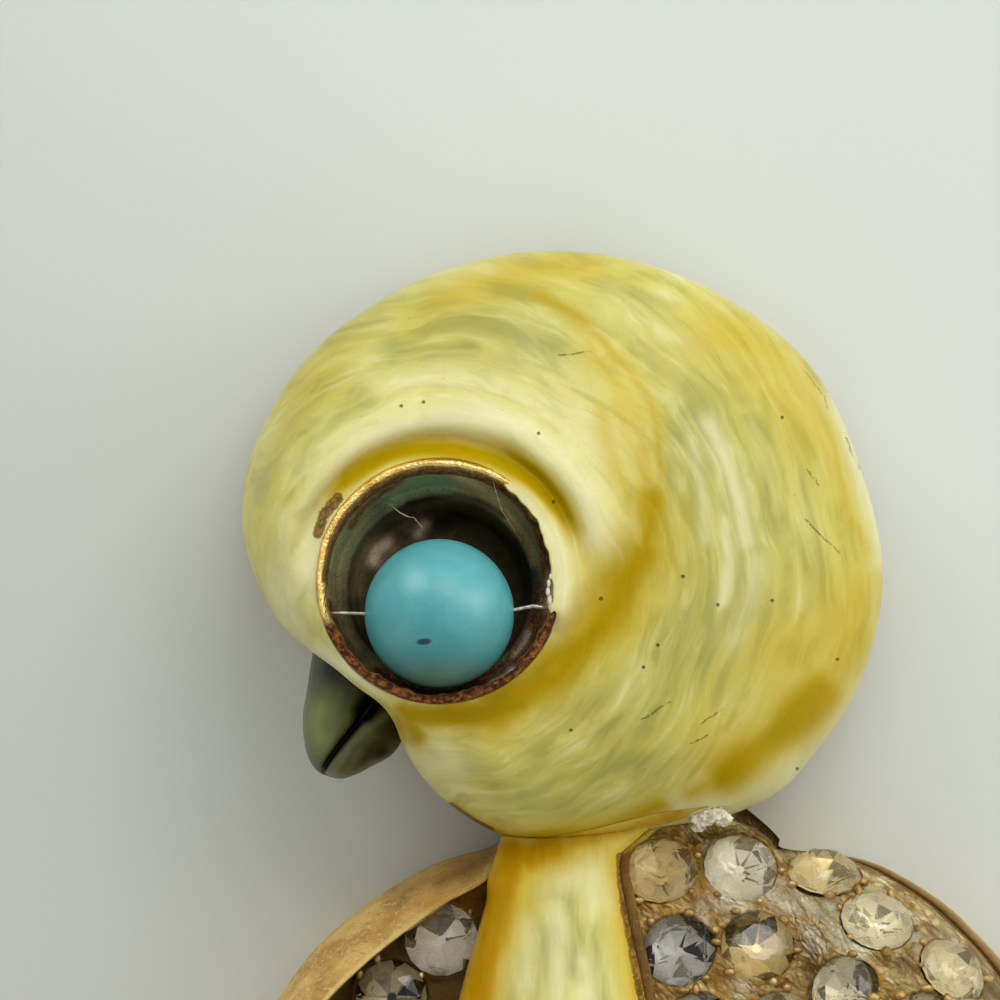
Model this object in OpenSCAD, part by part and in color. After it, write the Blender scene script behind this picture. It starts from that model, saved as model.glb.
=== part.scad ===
// Figural bird brooch: an enamelled head with a bead eye on a gold casting set with stones.
// It lies on its back: +Z is the front that is seen when worn, +Y is the top of the head.

/* [Head] */
// Scale radius of the head; the outline table holds shares of it
head_r = 8.1; // [7.4:0.1:9]
// Height of the head's widest edge above the back
head_edge_z = 3.2; // [2.6:0.1:3.8]
// Height of the eye's lip above the back
eye_z = 8.6; // [8.2:0.1:9.6]
// Lowest exponent of the dome; more is a flatter top and a rounder edge
dome_power = 2.3; // [2:0.1:3]
// Depth of the spiral crease behind the eye
crease_depth = 0.8; // [0.3:0.1:1]
// Depth of the groove round the eye
groove_depth = 0.4; // [0.2:0.05:0.5]
// Height of the brow ridge outside that groove
brow_height = 0.3; // [0.1:0.05:0.5]

/* [Eye] */
// Diameter of the bead
bead_d = 4; // [3.4:0.1:4.4]
// How far the bead hangs below the middle of the cup
bead_drop = 0.84; // [0.5:0.02:1]
// Free space between the bead and the cup's lip
bead_clear = 0.28; // [0.2:0.02:0.6]
// How far the bead's centre lies below the lip
bead_sink = 0.35; // [0.3:0.05:0.8]
// Diameter of the wire through the bead
wire_d = 0.16; // [0.12:0.02:0.24]
// Width of the cup's lip
lip_w = 0.18; // [0.14:0.02:0.3]
// Depth of the cup's well, outside
cup_depth = 3.35; // [3.1:0.05:3.6]
// Thickness of the cup's floor
cup_floor = 0.3; // [0.2:0.05:0.5]
// Wall of the head round the cup, at the least
eye_wall = 0.26; // [0.2:0.02:0.4]
// Tilt of the cup towards the top of the head, in degrees
cup_tilt = 8; // [0:1:10]

/* [Beak] */
// Height of the beak's widest edge above the back
beak_edge_z = 3.4; // [3:0.1:4]
// Rise of the beak above that edge, at the root
beak_rise = 2.2; // [1.6:0.1:2.6]
// Depth of the beak below that edge, at the root
beak_drop = 1.5; // [1:0.1:1.8]
// Depth of the mouth line at the root
mouth_depth = 0.6; // [0.3:0.05:0.8]

/* [Body] */
// Width across both wings
body_w = 22.6; // [21:0.2:25]
// Length from under the head to the tail
body_h = 21.8; // [20:0.2:25]
// Height of the chest above the back
body_t = 7.8; // [7.6:0.1:9]
// Height of the body's widest edge above the back
body_edge_z = 2.2; // [1.8:0.1:2.6]
// Depth of the stone recess behind the left wing's lip
recess_depth = 1.9; // [1.4:0.1:2.1]
// Width of the gold border beside the chest
border_w = 0.32; // [0.2:0.02:0.5]
// How far the stone fields lie below their borders
field_sink = 0.4; // [0.2:0.05:0.6]

/* [Back] */
// Depth of the hollow in the back
dish_depth = 3.3; // [3.2:0.05:3.5]
// Width of the flat rim round the hollow
rim_w = 1.3; // [1:0.1:2]
// How far the foot of the rim lies inside the widest edge
foot_inset = 0.45; // [0.3:0.05:0.7]

/* [Pin] */
// Length of the pin finding
pin_length = 15.6; // [12:0.2:16]
// Width of its base bar
bar_w = 2.4; // [2:0.1:3]
// Thickness of its base bar
bar_t = 0.5; // [0.4:0.05:0.7]
// Diameter of the pin stem
stem_d = 0.8; // [0.6:0.05:1]
// Diameter of the hinge knuckle and of the catch
knuckle_d = 2.2; // [1.8:0.1:2.4]

/* [Stones] */
// Diameter of a stone, as a share of the body's length
stone_share = 0.078; // [0.066:0.001:0.078]
// Height of a stone, as a share of its diameter
stone_height_share = 0.56; // [0.4:0.02:0.6]
// Depth of the seats drilled for the stones, as a share of the diameter
seat_share = 0.32; // [0.2:0.02:0.34]

/* [Clearances] */
// Gap between two pieces that are fitted together
seat_gap = 0.08; // [0.05:0.01:0.12]
// Gap round and under a stone in its seat
stone_clear = 0.1; // [0.1:0.01:0.14]
// Radial gap of the wire in its holes
wire_clear = 0.05; // [0.02:0.01:0.08]

/* [Hidden] */
eps = 0.01;

// Outline of the head about the eye: angle, radius as a share of head_r
HEAD_OUTLINE = [
  [-24, 1.385], [-15, 1.44], [0, 1.48], [15, 1.455], [30, 1.43], [45, 1.34], [60, 1.24],
  [75, 1.135], [90, 1.03], [105, 0.94], [120, 0.87], [135, 0.80], [150, 0.745], [165, 0.685],
  [180, 0.615], [195, 0.555], [208, 0.495], [220, 0.458], [232, 0.45], [244, 0.458], [252, 0.5],
  [258, 0.575], [264, 0.65], [272, 0.745], [285, 0.89], [300, 1.01], [312, 1.12], [320, 1.235],
  [328, 1.335], [336, 1.385], [345, 1.44], [360, 1.48], [375, 1.455]
];
// Spiral crease behind the eye: angle, radius as a share of head_r, depth as a share of crease_depth
CREASE = [
  [-130, 0.435, 0], [-105, 0.435, 0.35], [-86, 0.44, 0.75], [-63, 0.45, 0.9], [-43, 0.477, 0.95],
  [-28, 0.49, 1], [-13, 0.52, 1], [-1, 0.573, 1], [8, 0.64, 0.95], [18, 0.73, 0.85],
  [31, 0.833, 0.65], [44, 0.93, 0.45], [57, 0.99, 0.3], [70, 0.99, 0.15], [90, 0.985, 0]
];
// Sections of the body from neck to tail. Shares of body_h along it; shares of half body_w across:
// left edge, lip, chest's left and right side, valley, right edge; then the crown as a share of
// body_t and the fullness of the right wing
BODY = [
  [0.000, -0.310, -0.305, -0.300, 0.030, 0.100, 0.210, 0.58, 0.00],
  [0.030, -0.335, -0.330, -0.325, 0.007, 0.222, 0.282, 0.60, 0.00],
  [0.050, -0.346, -0.341, -0.336, -0.030, 0.290, 0.320, 0.62, 0.00],
  [0.063, -0.387, -0.352, -0.346, -0.060, 0.310, 0.334, 0.64, 0.05],
  [0.070, -0.437, -0.358, -0.350, -0.065, 0.325, 0.460, 0.65, 0.25],
  [0.080, -0.500, -0.366, -0.356, -0.068, 0.330, 0.544, 0.67, 0.45],
  [0.100, -0.575, -0.385, -0.370, -0.064, 0.327, 0.625, 0.71, 0.65],
  [0.130, -0.668, -0.490, -0.386, -0.053, 0.335, 0.714, 0.76, 0.82],
  [0.165, -0.750, -0.585, -0.405, -0.040, 0.355, 0.788, 0.81, 0.92],
  [0.200, -0.816, -0.670, -0.425, -0.024, 0.386, 0.850, 0.85, 0.97],
  [0.250, -0.885, -0.768, -0.450, -0.005, 0.418, 0.916, 0.90, 1.00],
  [0.310, -0.948, -0.830, -0.470, 0.024, 0.450, 0.964, 0.95, 1.00],
  [0.385, -0.990, -0.862, -0.480, 0.050, 0.473, 0.993, 0.99, 1.00],
  [0.460, -1.000, -0.869, -0.477, 0.067, 0.482, 1.000, 1.00, 1.00],
  [0.545, -0.980, -0.845, -0.458, 0.075, 0.480, 0.980, 0.98, 1.00],
  [0.635, -0.928, -0.790, -0.420, 0.072, 0.455, 0.928, 0.93, 1.00],
  [0.720, -0.835, -0.702, -0.370, 0.062, 0.400, 0.842, 0.85, 1.00],
  [0.795, -0.735, -0.600, -0.310, 0.050, 0.330, 0.750, 0.76, 1.00],
  [0.855, -0.628, -0.500, -0.250, 0.042, 0.270, 0.645, 0.68, 1.00],
  [0.905, -0.520, -0.400, -0.190, 0.034, 0.210, 0.540, 0.60, 1.00],
  [0.945, -0.400, -0.290, -0.135, 0.028, 0.155, 0.420, 0.53, 0.90],
  [0.975, -0.270, -0.180, -0.085, 0.020, 0.100, 0.290, 0.47, 0.60],
  [0.990, -0.170, -0.090, -0.045, 0.014, 0.060, 0.185, 0.44, 0.20],
  [0.997, -0.090, -0.045, -0.022, 0.007, 0.030, 0.100, 0.42, 0.05]
];
// Beak from its root to its tip, in shares of head_r: along, left edge, mouth line, right edge;
// then how full it is
BEAK = [
  [0.00, -0.400, -0.120, -0.110, 1.00],
  [0.10, -0.445, -0.140, -0.120, 1.00],
  [0.19, -0.457, -0.175, -0.117, 0.97],
  [0.27, -0.460, -0.237, -0.120, 0.90],
  [0.35, -0.453, -0.310, -0.124, 0.78],
  [0.40, -0.443, -0.350, -0.150, 0.66],
  [0.435, -0.425, -0.377, -0.205, 0.52],
  [0.458, -0.400, -0.385, -0.265, 0.34]
];
BEAK_TIP = [0.475, -0.335];

HEAD_SIDES = 90;

cup_r = bead_d / 2 + bead_drop + bead_clear + lip_w;
cup_foot_r = cup_r - 0.22 * cup_depth;
// Where the parts lie about the eye, which is the centre of the drawing frame
neck_y = -0.733 * head_r;
axis_x = 0.69 * head_r;
beak_root_y = -0.19 * head_r;
tail_y = neck_y - body_h;
head_top_y = max([for (a = [0 : 360 / HEAD_SIDES : 359]) outline(a) * sin(a)]);
middle_y = (head_top_y + tail_y) / 2;

// Share of its height that the dome keeps out to the collar round the eye
COLLAR = 0.43;
COLLAR_HOLD = 0.95;
// Shares of the crown's height at the left lip, the field beside the chest, the valley and the wing
LIP_SHARE = 0.80;
FIELD_SHARE = 0.87;
VALLEY_SHARE = 0.81;
WING_SHARE = 0.90;
// The stretch of the body whose back is hollow
DISH_FROM = 0.24;
DISH_TO = 0.66;
PIN_AT = 0.40;

// The body's width counts as this share of its length for the stones, so they fit a narrow body too
WIDTH_SHARE = 0.965;
PITCH_SHARE = 0.0963;
stone_d = stone_share * min(body_h, WIDTH_SHARE * body_w);
stone_h = stone_height_share * stone_d;
seat_depth = seat_share * stone_d;

// Smooth interpolation of column c of a table whose first column rises
function span(t, s, i = 0) = (i >= len(t) - 2 || s < t[i + 1][0]) ? i : span(t, s, i + 1);
function rate(t, c, i) =
  let (a = max(i - 1, 0), b = min(i + 1, len(t) - 1)) (t[b][c] - t[a][c]) / (t[b][0] - t[a][0]);
function along(t, c, s) =
  let (
    i = span(t, s),
    w = t[i + 1][0] - t[i][0],
    x = min(max((s - t[i][0]) / w, 0), 1),
    x2 = x * x,
    x3 = x2 * x
  )
  (2 * x3 - 3 * x2 + 1) * t[i][c] + (x3 - 2 * x2 + x) * w * rate(t, c, i)
  + (3 * x2 - 2 * x3) * t[i + 1][c] + (x3 - x2) * w * rate(t, c, i + 1);
function mix(a, b, x) = a + (b - a) * x;
function ease(a, b, x) = let (q = min(max((x - a) / (b - a), 0), 1)) q * q * (3 - 2 * q);
function bell(x, w) = exp(-pow(x / w, 2));

// Closed solid from rings of the same number of points, with a point at each end
function ring_faces(k, n) = concat(
  [for (j = [0 : n - 1]) [0, 1 + j, 1 + (j + 1) % n]],
  [for (i = [0 : k - 2], j = [0 : n - 1])
    let (a = 1 + i * n + j, b = 1 + i * n + (j + 1) % n) each [[a, a + n, b], [b, a + n, b + n]]],
  [for (j = [0 : n - 1]) let (q = 1 + (k - 1) * n) [q + (j + 1) % n, q + j, 1 + k * n]]
);
module rings(start, loops, end) {
  n = len(loops[0]);
  points = concat([start], [for (ring = loops) each ring], [end]);
  polyhedron(points, ring_faces(len(loops), n), convexity = 8);
}

// Head

// The outline keeps a wall round the eye's bore
function outline(a) = max(head_r * along(HEAD_OUTLINE, 1, a), cup_r + seat_gap + eye_wall);
// The angle from -180 to 180 and the radius in shares of head_r, for the relief
function turn(a) = a > 180 ? a - 360 : a;
function crease(a, q) =
  let (t = turn(a))
  (t < -130 || t > 90) ? 0 :
  let (d = q - along(CREASE, 1, t), w = d < 0 ? 0.075 : 0.14)
  crease_depth * along(CREASE, 2, t) * bell(d, w);
// The groove and the brow run over the upper side of the eye
function brow_window(a) = let (t = turn(a)) ease(-2, 25, t) * (1 - ease(160, 179, t));
function head_z(a, r) =
  let (
    edge = outline(a),
    q = r / head_r,
    t = min(r / edge, 1),
    power = max(dome_power, ln(1 - COLLAR_HOLD * COLLAR_HOLD) / ln(COLLAR * head_r / edge)),
    dome = sqrt(max(1 - pow(t, power), 0)),
    lean = tan(cup_tilt) * r * sin(a) * bell(q, 0.62),
    brow = brow_height * bell(q - 0.56, 0.075) - groove_depth * bell(q - 0.465, 0.035)
  )
  head_edge_z + (eye_z - head_edge_z - lean + brow * brow_window(a) - crease(a, q)) * dome;
// Rings run from the eye to the outline and stand closer together near the eye
function head_ring(t) =
  [for (j = [0 : HEAD_SIDES - 1])
    let (
      a = j * 360 / HEAD_SIDES,
      edge = outline(a),
      from = RING_START * head_r,
      r = from + (edge - from) * pow(t, mix(1, 2.1, (edge / head_r - 0.45) / 1.03))
    )
    [r * cos(a), r * sin(a), head_z(a, r)]];
// A ring of points at an even distance inside the outline
function inner_ring(inset, share, z) =
  [for (j = [0 : HEAD_SIDES - 1])
    let (a = j * 360 / HEAD_SIDES, r = (outline(a) - inset) * share)
    [r * cos(a), r * sin(a), z]];
RING_START = 0.36;
HEAD_RINGS = [
  0, 0.08, 0.15, 0.21, 0.27, 0.33, 0.39, 0.45, 0.51, 0.57, 0.63, 0.69, 0.75, 0.81, 0.87, 0.92, 0.96,
  0.985, 1
];
// The room that the head takes, as a straight block through the whole height
module head_room() {
  linear_extrude(height = 12)
    polygon([for (j = [0 : HEAD_SIDES - 1])
      let (a = j * 360 / HEAD_SIDES, r = outline(a) + seat_gap) [r * cos(a), r * sin(a)]]);
}
module head_shell() {
  rings(
    [0, 0, eye_z],
    concat(
      [for (t = HEAD_RINGS) head_ring(t)],
      [
        inner_ring(0.1, 1, head_edge_z * 0.6),
        inner_ring(foot_inset, 1, 0),
        inner_ring(foot_inset + rim_w * 0.45, 0.92, 0),
        inner_ring(foot_inset + rim_w * 0.6, 0.84, dish_depth * 0.7),
        inner_ring(foot_inset + rim_w, 0.72, dish_depth)
      ]
    ),
    [0, 0, dish_depth]
  );
}
// The frame of the cup: origin in the middle of its lip, z out of its mouth
module eye_frame() { translate([0, 0, eye_z]) rotate([-cup_tilt, 0, 0]) children(); }
module head() {
  color("khaki") difference() {
    head_shell();
    eye_frame() translate([0, 0, -cup_depth - seat_gap])
      cylinder(r1 = cup_foot_r + seat_gap, r2 = cup_r + seat_gap, h = cup_depth + seat_gap, $fn = 96);
    eye_frame() translate([0, 0, -eps]) cylinder(r = cup_r + seat_gap, h = cup_depth, $fn = 96);
  }
}

// Eye

step_z = bead_sink + 0.62 * bead_d / 2;
step_r = cup_r - lip_w - 0.62;
module eye_cup() {
  mouth_r = cup_r - lip_w;
  color("goldenrod") eye_frame() difference() {
    rotate_extrude($fn = 96) polygon([
      [0, -cup_depth], [cup_foot_r, -cup_depth], [cup_r, 0], [mouth_r + lip_w * 0.3, 0.04],
      [mouth_r, 0], [mouth_r - 0.3, -step_z], [step_r, -step_z - 0.1],
      [step_r - 0.25, -cup_depth + cup_floor + 0.4], [step_r - 0.5, -cup_depth + cup_floor],
      [0, -cup_depth + cup_floor]
    ]);
    wire_line(wire_d + 2 * wire_clear, 4 * cup_r);
  }
}
module wire_line(d, length) {
  translate([0, -bead_drop, -bead_sink]) rotate([0, 90, 0])
    cylinder(d = d, h = length, center = true, $fn = 32);
}
module eye_wire() {
  color("silver") eye_frame() wire_line(wire_d, 2 * sqrt(cup_r * cup_r - bead_drop * bead_drop) - 0.1);
}
module eye_bead() {
  color("mediumturquoise") eye_frame() translate([0, -bead_drop, -bead_sink]) rotate([0, 90, 0])
    difference() {
      sphere(d = bead_d, $fn = 96);
      cylinder(d = wire_d + 2 * wire_clear, h = 2 * bead_d, center = true, $fn = 32);
    }
}

// Beak

// One section: over the two halves of the bill with the mouth line between them, then underneath
function lobe_z(x, a, b) = sqrt(max(1 - pow((2 * x - a - b) / (b - a), 2), 0));
function beak_section(row) =
  let (
    y = beak_root_y - row[0] * head_r,
    xa = row[1] * head_r,
    xm = row[2] * head_r,
    xb = row[3] * head_r,
    groove_w = 0.2 * row[4] + 0.03,
    rise = beak_rise * row[4],
    groove = mouth_depth * row[4],
    low = beak_drop * row[4]
  )
  concat(
    [for (u = [0 : 0.2 : 0.8])
      let (x = mix(xa, xm - groove_w, 1 - cos(u * 90)))
      [x, y, beak_edge_z + rise * lobe_z(x, xa, xb)]],
    [let (x = xm - groove_w) [x, y, beak_edge_z + rise * lobe_z(x, xa, xb)]],
    [[xm, y, beak_edge_z + rise * lobe_z(xm, xa, xb) - groove]],
    [for (u = [0 : 0.25 : 1])
      let (x = mix(min(xm + groove_w, xb - 0.02), xb, sin(u * 90)))
      [x, y, beak_edge_z + rise * lobe_z(x, xa, xb)]],
    [for (u = [0.2 : 0.2 : 0.8])
      let (x = mix(xb, xa, u)) [x, y, beak_edge_z - low * lobe_z(x, xa, xb)]]
  );
module beak() {
  color("darkolivegreen") difference() {
    rings(
      [-0.26 * head_r, beak_root_y + 0.05, beak_edge_z],
      [for (row = BEAK) beak_section(row)],
      [BEAK_TIP[1] * head_r, beak_root_y - BEAK_TIP[0] * head_r, beak_edge_z + 0.1]
    );
    translate([0, 0, -1]) head_room();
  }
}

// Body surfaces: each gives the point at share s of the length and share u across its own strip

function across(c, s) = axis_x + body_w / 2 * along(BODY, c, s);
function left_x(s) = across(1, s);
function lip_x(s) = across(2, s);
function chest_l_x(s) = across(3, s);
function chest_r_x(s) = across(4, s);
function valley_x(s) = across(5, s);
function right_x(s) = across(6, s);
function fullness(s) = along(BODY, 8, s);
function body_y(s) = neck_y - body_h * s;
function crown(s) = body_t * along(BODY, 7, s);
function lip_z(s) = LIP_SHARE * crown(s);
function recess_z(s) = lip_z(s) - recess_depth * pow(sin(180 * min(max(s, 0.01), 0.99)), 0.6);
function border_z(s) = FIELD_SHARE * crown(s);
function right_rim_x(s) =
  let (edge = right_x(s)) edge - min(0.4, 0.2 * (edge - valley_x(s)));
function wing_edge_z(s) = body_edge_z + 0.5 * fullness(s);
function left_bed(s, u) =
  let (from = lip_x(s), to = chest_l_x(s))
  [mix(from + min(0.1, 0.3 * (to - from)), to, u), body_y(s), recess_z(s)];
function border(s) = min(border_w, 0.2 * (valley_x(s) - chest_r_x(s)));
function flank_bed(s, u) =
  [mix(chest_r_x(s) + border(s), valley_x(s), u), body_y(s),
   mix(border_z(s) - field_sink, VALLEY_SHARE * crown(s) - 0.2, u) + 0.05 * crown(s) * sin(180 * u)];
WING_TOP = 0.28;
function wing_bed(s, u) =
  let (
    low = wing_edge_z(s),
    top = mix(low, WING_SHARE * crown(s), fullness(s)),
    valley = min(VALLEY_SHARE * crown(s) - 0.2, top + 0.6),
    z = u < WING_TOP
      ? mix(valley, top, sin(90 * u / WING_TOP))
      : low + (top - low) * sqrt(max(1 - pow((u - WING_TOP) / (1 - WING_TOP), 2), 0))
  )
  [mix(valley_x(s), right_rim_x(s), u), body_y(s), z];
// The chest's top, crowned and a little fuller on its left
function chest_top(s, u) =
  let (side = recess_z(s) + 0.5)
  [mix(chest_l_x(s), chest_r_x(s) - seat_gap, u), body_y(s),
   mix(side, crown(s), pow(max(sin(180 * pow(u, 0.8) * 0.78), 0), 0.55))];

// Casting: one loft through the sections, over the front and back through the hollow

function dish_at(s) = dish_depth * (s > DISH_FROM && s < DISH_TO ? 1 : 0);
function casting_section(s) =
  let (
    y = body_y(s),
    xa = left_x(s),
    xb = right_x(s),
    xl = lip_x(s),
    half = (xb - xa) / 2,
    foot = min(foot_inset, half * 0.3),
    rim = min(foot + rim_w, half * 0.6),
    wall = min(rim + 0.7, half * 0.8),
    dish = dish_at(s)
  )
  concat(
    [[xa + foot, y, 0], [xa + foot * 0.3, y, body_edge_z * 0.5]],
    [for (u = [0 : 0.2 : 1])
      [mix(xa, xl, (1 - cos(90 * u)) * 0.96), y, mix(body_edge_z, lip_z(s), sin(90 * u))]],
    [[xl, y, lip_z(s) - 0.08]],
    [for (u = [0 : 0.5 : 1]) left_bed(s, u)],
    [[chest_r_x(s), y, recess_z(s)]],
    [for (u = [0.1, 0.9]) [chest_r_x(s) + u * border(s), y, border_z(s)]],
    [for (u = [0 : 0.2 : 0.8]) flank_bed(s, u)],
    [for (u = [0, 0.1, 0.2, 0.28, 0.4, 0.52, 0.64, 0.76, 0.86, 0.94, 0.98]) wing_bed(s, u)],
    [
      [mix(right_rim_x(s), xb, 0.2), y, wing_edge_z(s) + 0.3 * fullness(s)],
      [mix(right_rim_x(s), xb, 0.7), y, wing_edge_z(s) + 0.1 * fullness(s)],
      [xb, y, body_edge_z],
      [xb - foot * 0.3, y, body_edge_z * 0.5],
      [xb - foot, y, 0],
      [xb - rim, y, 0],
      [xb - wall, y, dish],
      [xa + wall, y, dish],
      [xa + rim, y, 0]
    ]
  );
// Stations along the body: two or three steps between the rows of the table
STATIONS = [
  0, 0.03, 0.05, 0.058, 0.063, 0.0665, 0.07, 0.075, 0.08, 0.09, 0.1, 0.115, 0.13, 0.148, 0.165,
  0.182, 0.2, 0.22, DISH_FROM, DISH_FROM + 0.03, 0.31, 0.345, 0.385, 0.42, 0.46, 0.5, 0.545, 0.59,
  DISH_TO - 0.03, DISH_TO, 0.7, 0.74, 0.775, 0.81, 0.84, 0.87, 0.9, 0.925, 0.945, 0.962, 0.977, 0.987,
  0.993, 0.997
];
module casting() {
  color("darkgoldenrod") difference() {
    rings(
      [axis_x - 0.05 * body_w, neck_y + 0.3, body_edge_z * 0.5],
      [for (s = STATIONS) casting_section(s)],
      [axis_x, tail_y, body_edge_z * 0.5]
    );
    translate([0, 0, -1]) head_room();
    on_left() seat();
    on_flank() seat();
    on_wing() seat();
  }
}

// Chest: a crowned strip of enamel that lies in the casting beside the recess

CHEST_STEPS = 10;
CHEST_END = 0.96;
function chest_section(s) =
  let (
    y = body_y(s),
    xa = chest_l_x(s),
    xb = chest_r_x(s) - seat_gap,
    low = recess_z(s) + seat_gap
  )
  concat(
    [[xa, y, low]],
    [for (k = [0 : CHEST_STEPS]) chest_top(s, k / CHEST_STEPS)],
    [[xb, y, low], [(xa + xb) / 2, y, low]]
  );
module chest() {
  color("palegoldenrod") difference() {
    rings(
      [chest_l_x(0) + 1, neck_y + 0.2, 0.5 * crown(0)],
      [for (s = STATIONS) if (s <= CHEST_END) chest_section(s)],
      [chest_r_x(0.97) - 0.5, body_y(CHEST_END) - 0.2, recess_z(0.97) + 0.3]
    );
    translate([0, 0, -1]) head_room();
  }
}

// Stones

SIDES = 8;
CULET_SHARE = 0.4;
function ngon(r, z, turn = 0) =
  [for (k = [0 : SIDES - 1]) [r * cos(k * 360 / SIDES + turn), r * sin(k * 360 / SIDES + turn), z]];
module stone() {
  r = stone_d / 2;
  rings(
    [0, 0, stone_h],
    [ngon(r * 0.58, stone_h), ngon(r, stone_h * 0.55), ngon(r, stone_h * 0.45), ngon(r * CULET_SHARE, 0)],
    [0, 0, 0]
  );
}
function unit(v) = v / norm(v);
// A frame on a bed: x across the row, z off the surface
module on_bed(p, px, py) {
  x = unit(px - p);
  z = unit(cross(x, unit(py - p)));
  y = cross(z, x);
  multmatrix([[x[0], y[0], z[0], p[0]], [x[1], y[1], z[1], p[1]], [x[2], y[2], z[2], p[2]], [0, 0, 0, 1]])
    children();
}
// Columns of stones: first and last place along the body, then the place across the strip at the
// ends of the body and at its middle
LEFT_COLUMNS = [
  [0.174, 0.18, 0.57, 0.57], [0.244, 0.25, 0.46, 0.46], [0.334, 0.72, 0.22, 0.23],
  [0.330, 0.72, 0.79, 0.78], [0.815, 0.90, 0.50, 0.50]
];
FLANK_COLUMNS = [[0.089, 0.68, 0.19, 0.22], [0.085, 0.68, 0.71, 0.71], [0.765, 0.87, 0.50, 0.50]];
WING_COLUMNS = [
  [0.094, 0.10, 0.40, 0.40], [0.151, 0.16, 0.53, 0.53], [0.234, 0.67, 0.14, 0.12],
  [0.212, 0.62, 0.68, 0.80], [0.278, 0.60, 0.50, 0.46], [0.660, 0.67, 0.52, 0.52],
  [0.720, 0.73, 0.82, 0.82], [0.748, 0.75, 0.38, 0.38], [0.825, 0.83, 0.66, 0.66],
  [0.862, 0.87, 0.28, 0.28]
];
FIRST = 0;
LAST = 1;
AT_ENDS = 2;
AT_MIDDLE = 3;
function places(columns) =
  [for (c = columns, s = [c[FIRST] : PITCH_SHARE : c[LAST]])
    [s, mix(c[AT_ENDS], c[AT_MIDDLE], sin(180 * s))]];
module on_left() {
  for (q = places(LEFT_COLUMNS))
    on_bed(left_bed(q[0], q[1]), left_bed(q[0], q[1] + eps), left_bed(q[0] - eps, q[1])) children();
}
module on_flank() {
  for (q = places(FLANK_COLUMNS))
    on_bed(flank_bed(q[0], q[1]), flank_bed(q[0], q[1] + eps), flank_bed(q[0] - eps, q[1])) children();
}
module on_wing() {
  for (q = places(WING_COLUMNS))
    on_bed(wing_bed(q[0], q[1]), wing_bed(q[0], q[1] + eps), wing_bed(q[0] - eps, q[1])) children();
}
// A seat is a cone that follows the stone's pavilion, with a short bore above it for its rim
module seat() {
  r = stone_d / 2;
  translate([0, 0, -seat_depth])
    cylinder(r1 = CULET_SHARE * r + stone_clear, r2 = r + stone_clear, h = seat_depth, $fn = 48);
  rim_h = stone_h - seat_depth + stone_clear + eps;
  translate([0, 0, -eps]) cylinder(r = r + stone_clear, h = rim_h, $fn = 48);
}
module set_stone() { translate([0, 0, stone_clear - seat_depth]) stone(); }
module left_stones() { color("lightgray") on_left() set_stone(); }
module flank_stones() { color("lightgray") on_flank() set_stone(); }
module wing_stones() { color("lightgray") on_wing() set_stone(); }

// Pin finding: base bar on the hollow's flat ceiling, knuckle, stem and catch in one plain piece

module pin_finding() {
  post_x = pin_length / 2 - knuckle_d / 2;
  knuckle_z = dish_depth - bar_t - knuckle_d / 2 + 0.15;
  stem_z = knuckle_z - 0.2;
  color("darkkhaki") translate([axis_x, body_y(PIN_AT), 0]) union() {
    translate([-pin_length / 2, -bar_w / 2, dish_depth - bar_t]) cube([pin_length, bar_w, bar_t]);
    translate([-post_x, 0, knuckle_z]) rotate([90, 0, 0])
      cylinder(d = knuckle_d, h = bar_w * 0.8, center = true, $fn = 48);
    translate([-post_x, 0, stem_z]) rotate([0, 90, 0]) cylinder(d = stem_d, h = 2 * post_x + 0.6, $fn = 32);
    translate([post_x, 0, knuckle_z]) rotate([0, 90, 0])
      cylinder(d = knuckle_d, h = 0.8, center = true, $fn = 48);
  }
}

// The row's frame: the middle of the brooch's outline lies over the origin
module place() { translate([-axis_x, -middle_y, 0]) children(); }

place() head();
place() beak();
place() eye_cup();
place() eye_wire();
place() eye_bead();
place() casting();
place() chest();
place() left_stones();
place() flank_stones();
place() wing_stones();
place() pin_finding();
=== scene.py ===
import math

import bmesh
import bpy
import numpy as np
from mathutils import Matrix, Vector


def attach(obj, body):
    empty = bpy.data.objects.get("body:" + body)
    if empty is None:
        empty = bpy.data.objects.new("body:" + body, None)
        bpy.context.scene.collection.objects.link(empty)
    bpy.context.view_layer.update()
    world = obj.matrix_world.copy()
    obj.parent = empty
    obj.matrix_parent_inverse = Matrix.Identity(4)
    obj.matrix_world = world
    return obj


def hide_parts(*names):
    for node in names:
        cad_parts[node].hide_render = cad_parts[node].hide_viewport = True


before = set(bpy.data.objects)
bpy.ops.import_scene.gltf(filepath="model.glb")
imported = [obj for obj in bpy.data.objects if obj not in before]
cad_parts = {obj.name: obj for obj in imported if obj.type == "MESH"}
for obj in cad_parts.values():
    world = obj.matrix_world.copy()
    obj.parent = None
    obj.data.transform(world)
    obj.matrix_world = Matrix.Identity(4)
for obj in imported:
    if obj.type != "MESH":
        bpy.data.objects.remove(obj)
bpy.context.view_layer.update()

# Head
# One dome of cast white metal, hollow at the back, flooded with cream and yellow enamel. A crease
# runs in a spiral round the eye, and the enamel pools golden in it and in the groove over the eye.

# Sizes in millimetres about the eye; the frame's middle lies at axis_x, middle_y
head_r, dome_power, collar_share = 8.1, 2.3, 0.43
edge_z, eye_z, tilt = 3.2, 8.6, math.radians(8)
cup_r, seat_gap, eye_wall = 3.3, 0.08, 0.26
crease_depth, groove_depth, brow_height = 0.8, 0.4, 0.3
axis_x, middle_y = 0.69 * head_r, -9.4158
seat_floor_z, dish_z, foot_inset, rim_w = 5.0, 3.3, 0.45, 1.3

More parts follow.
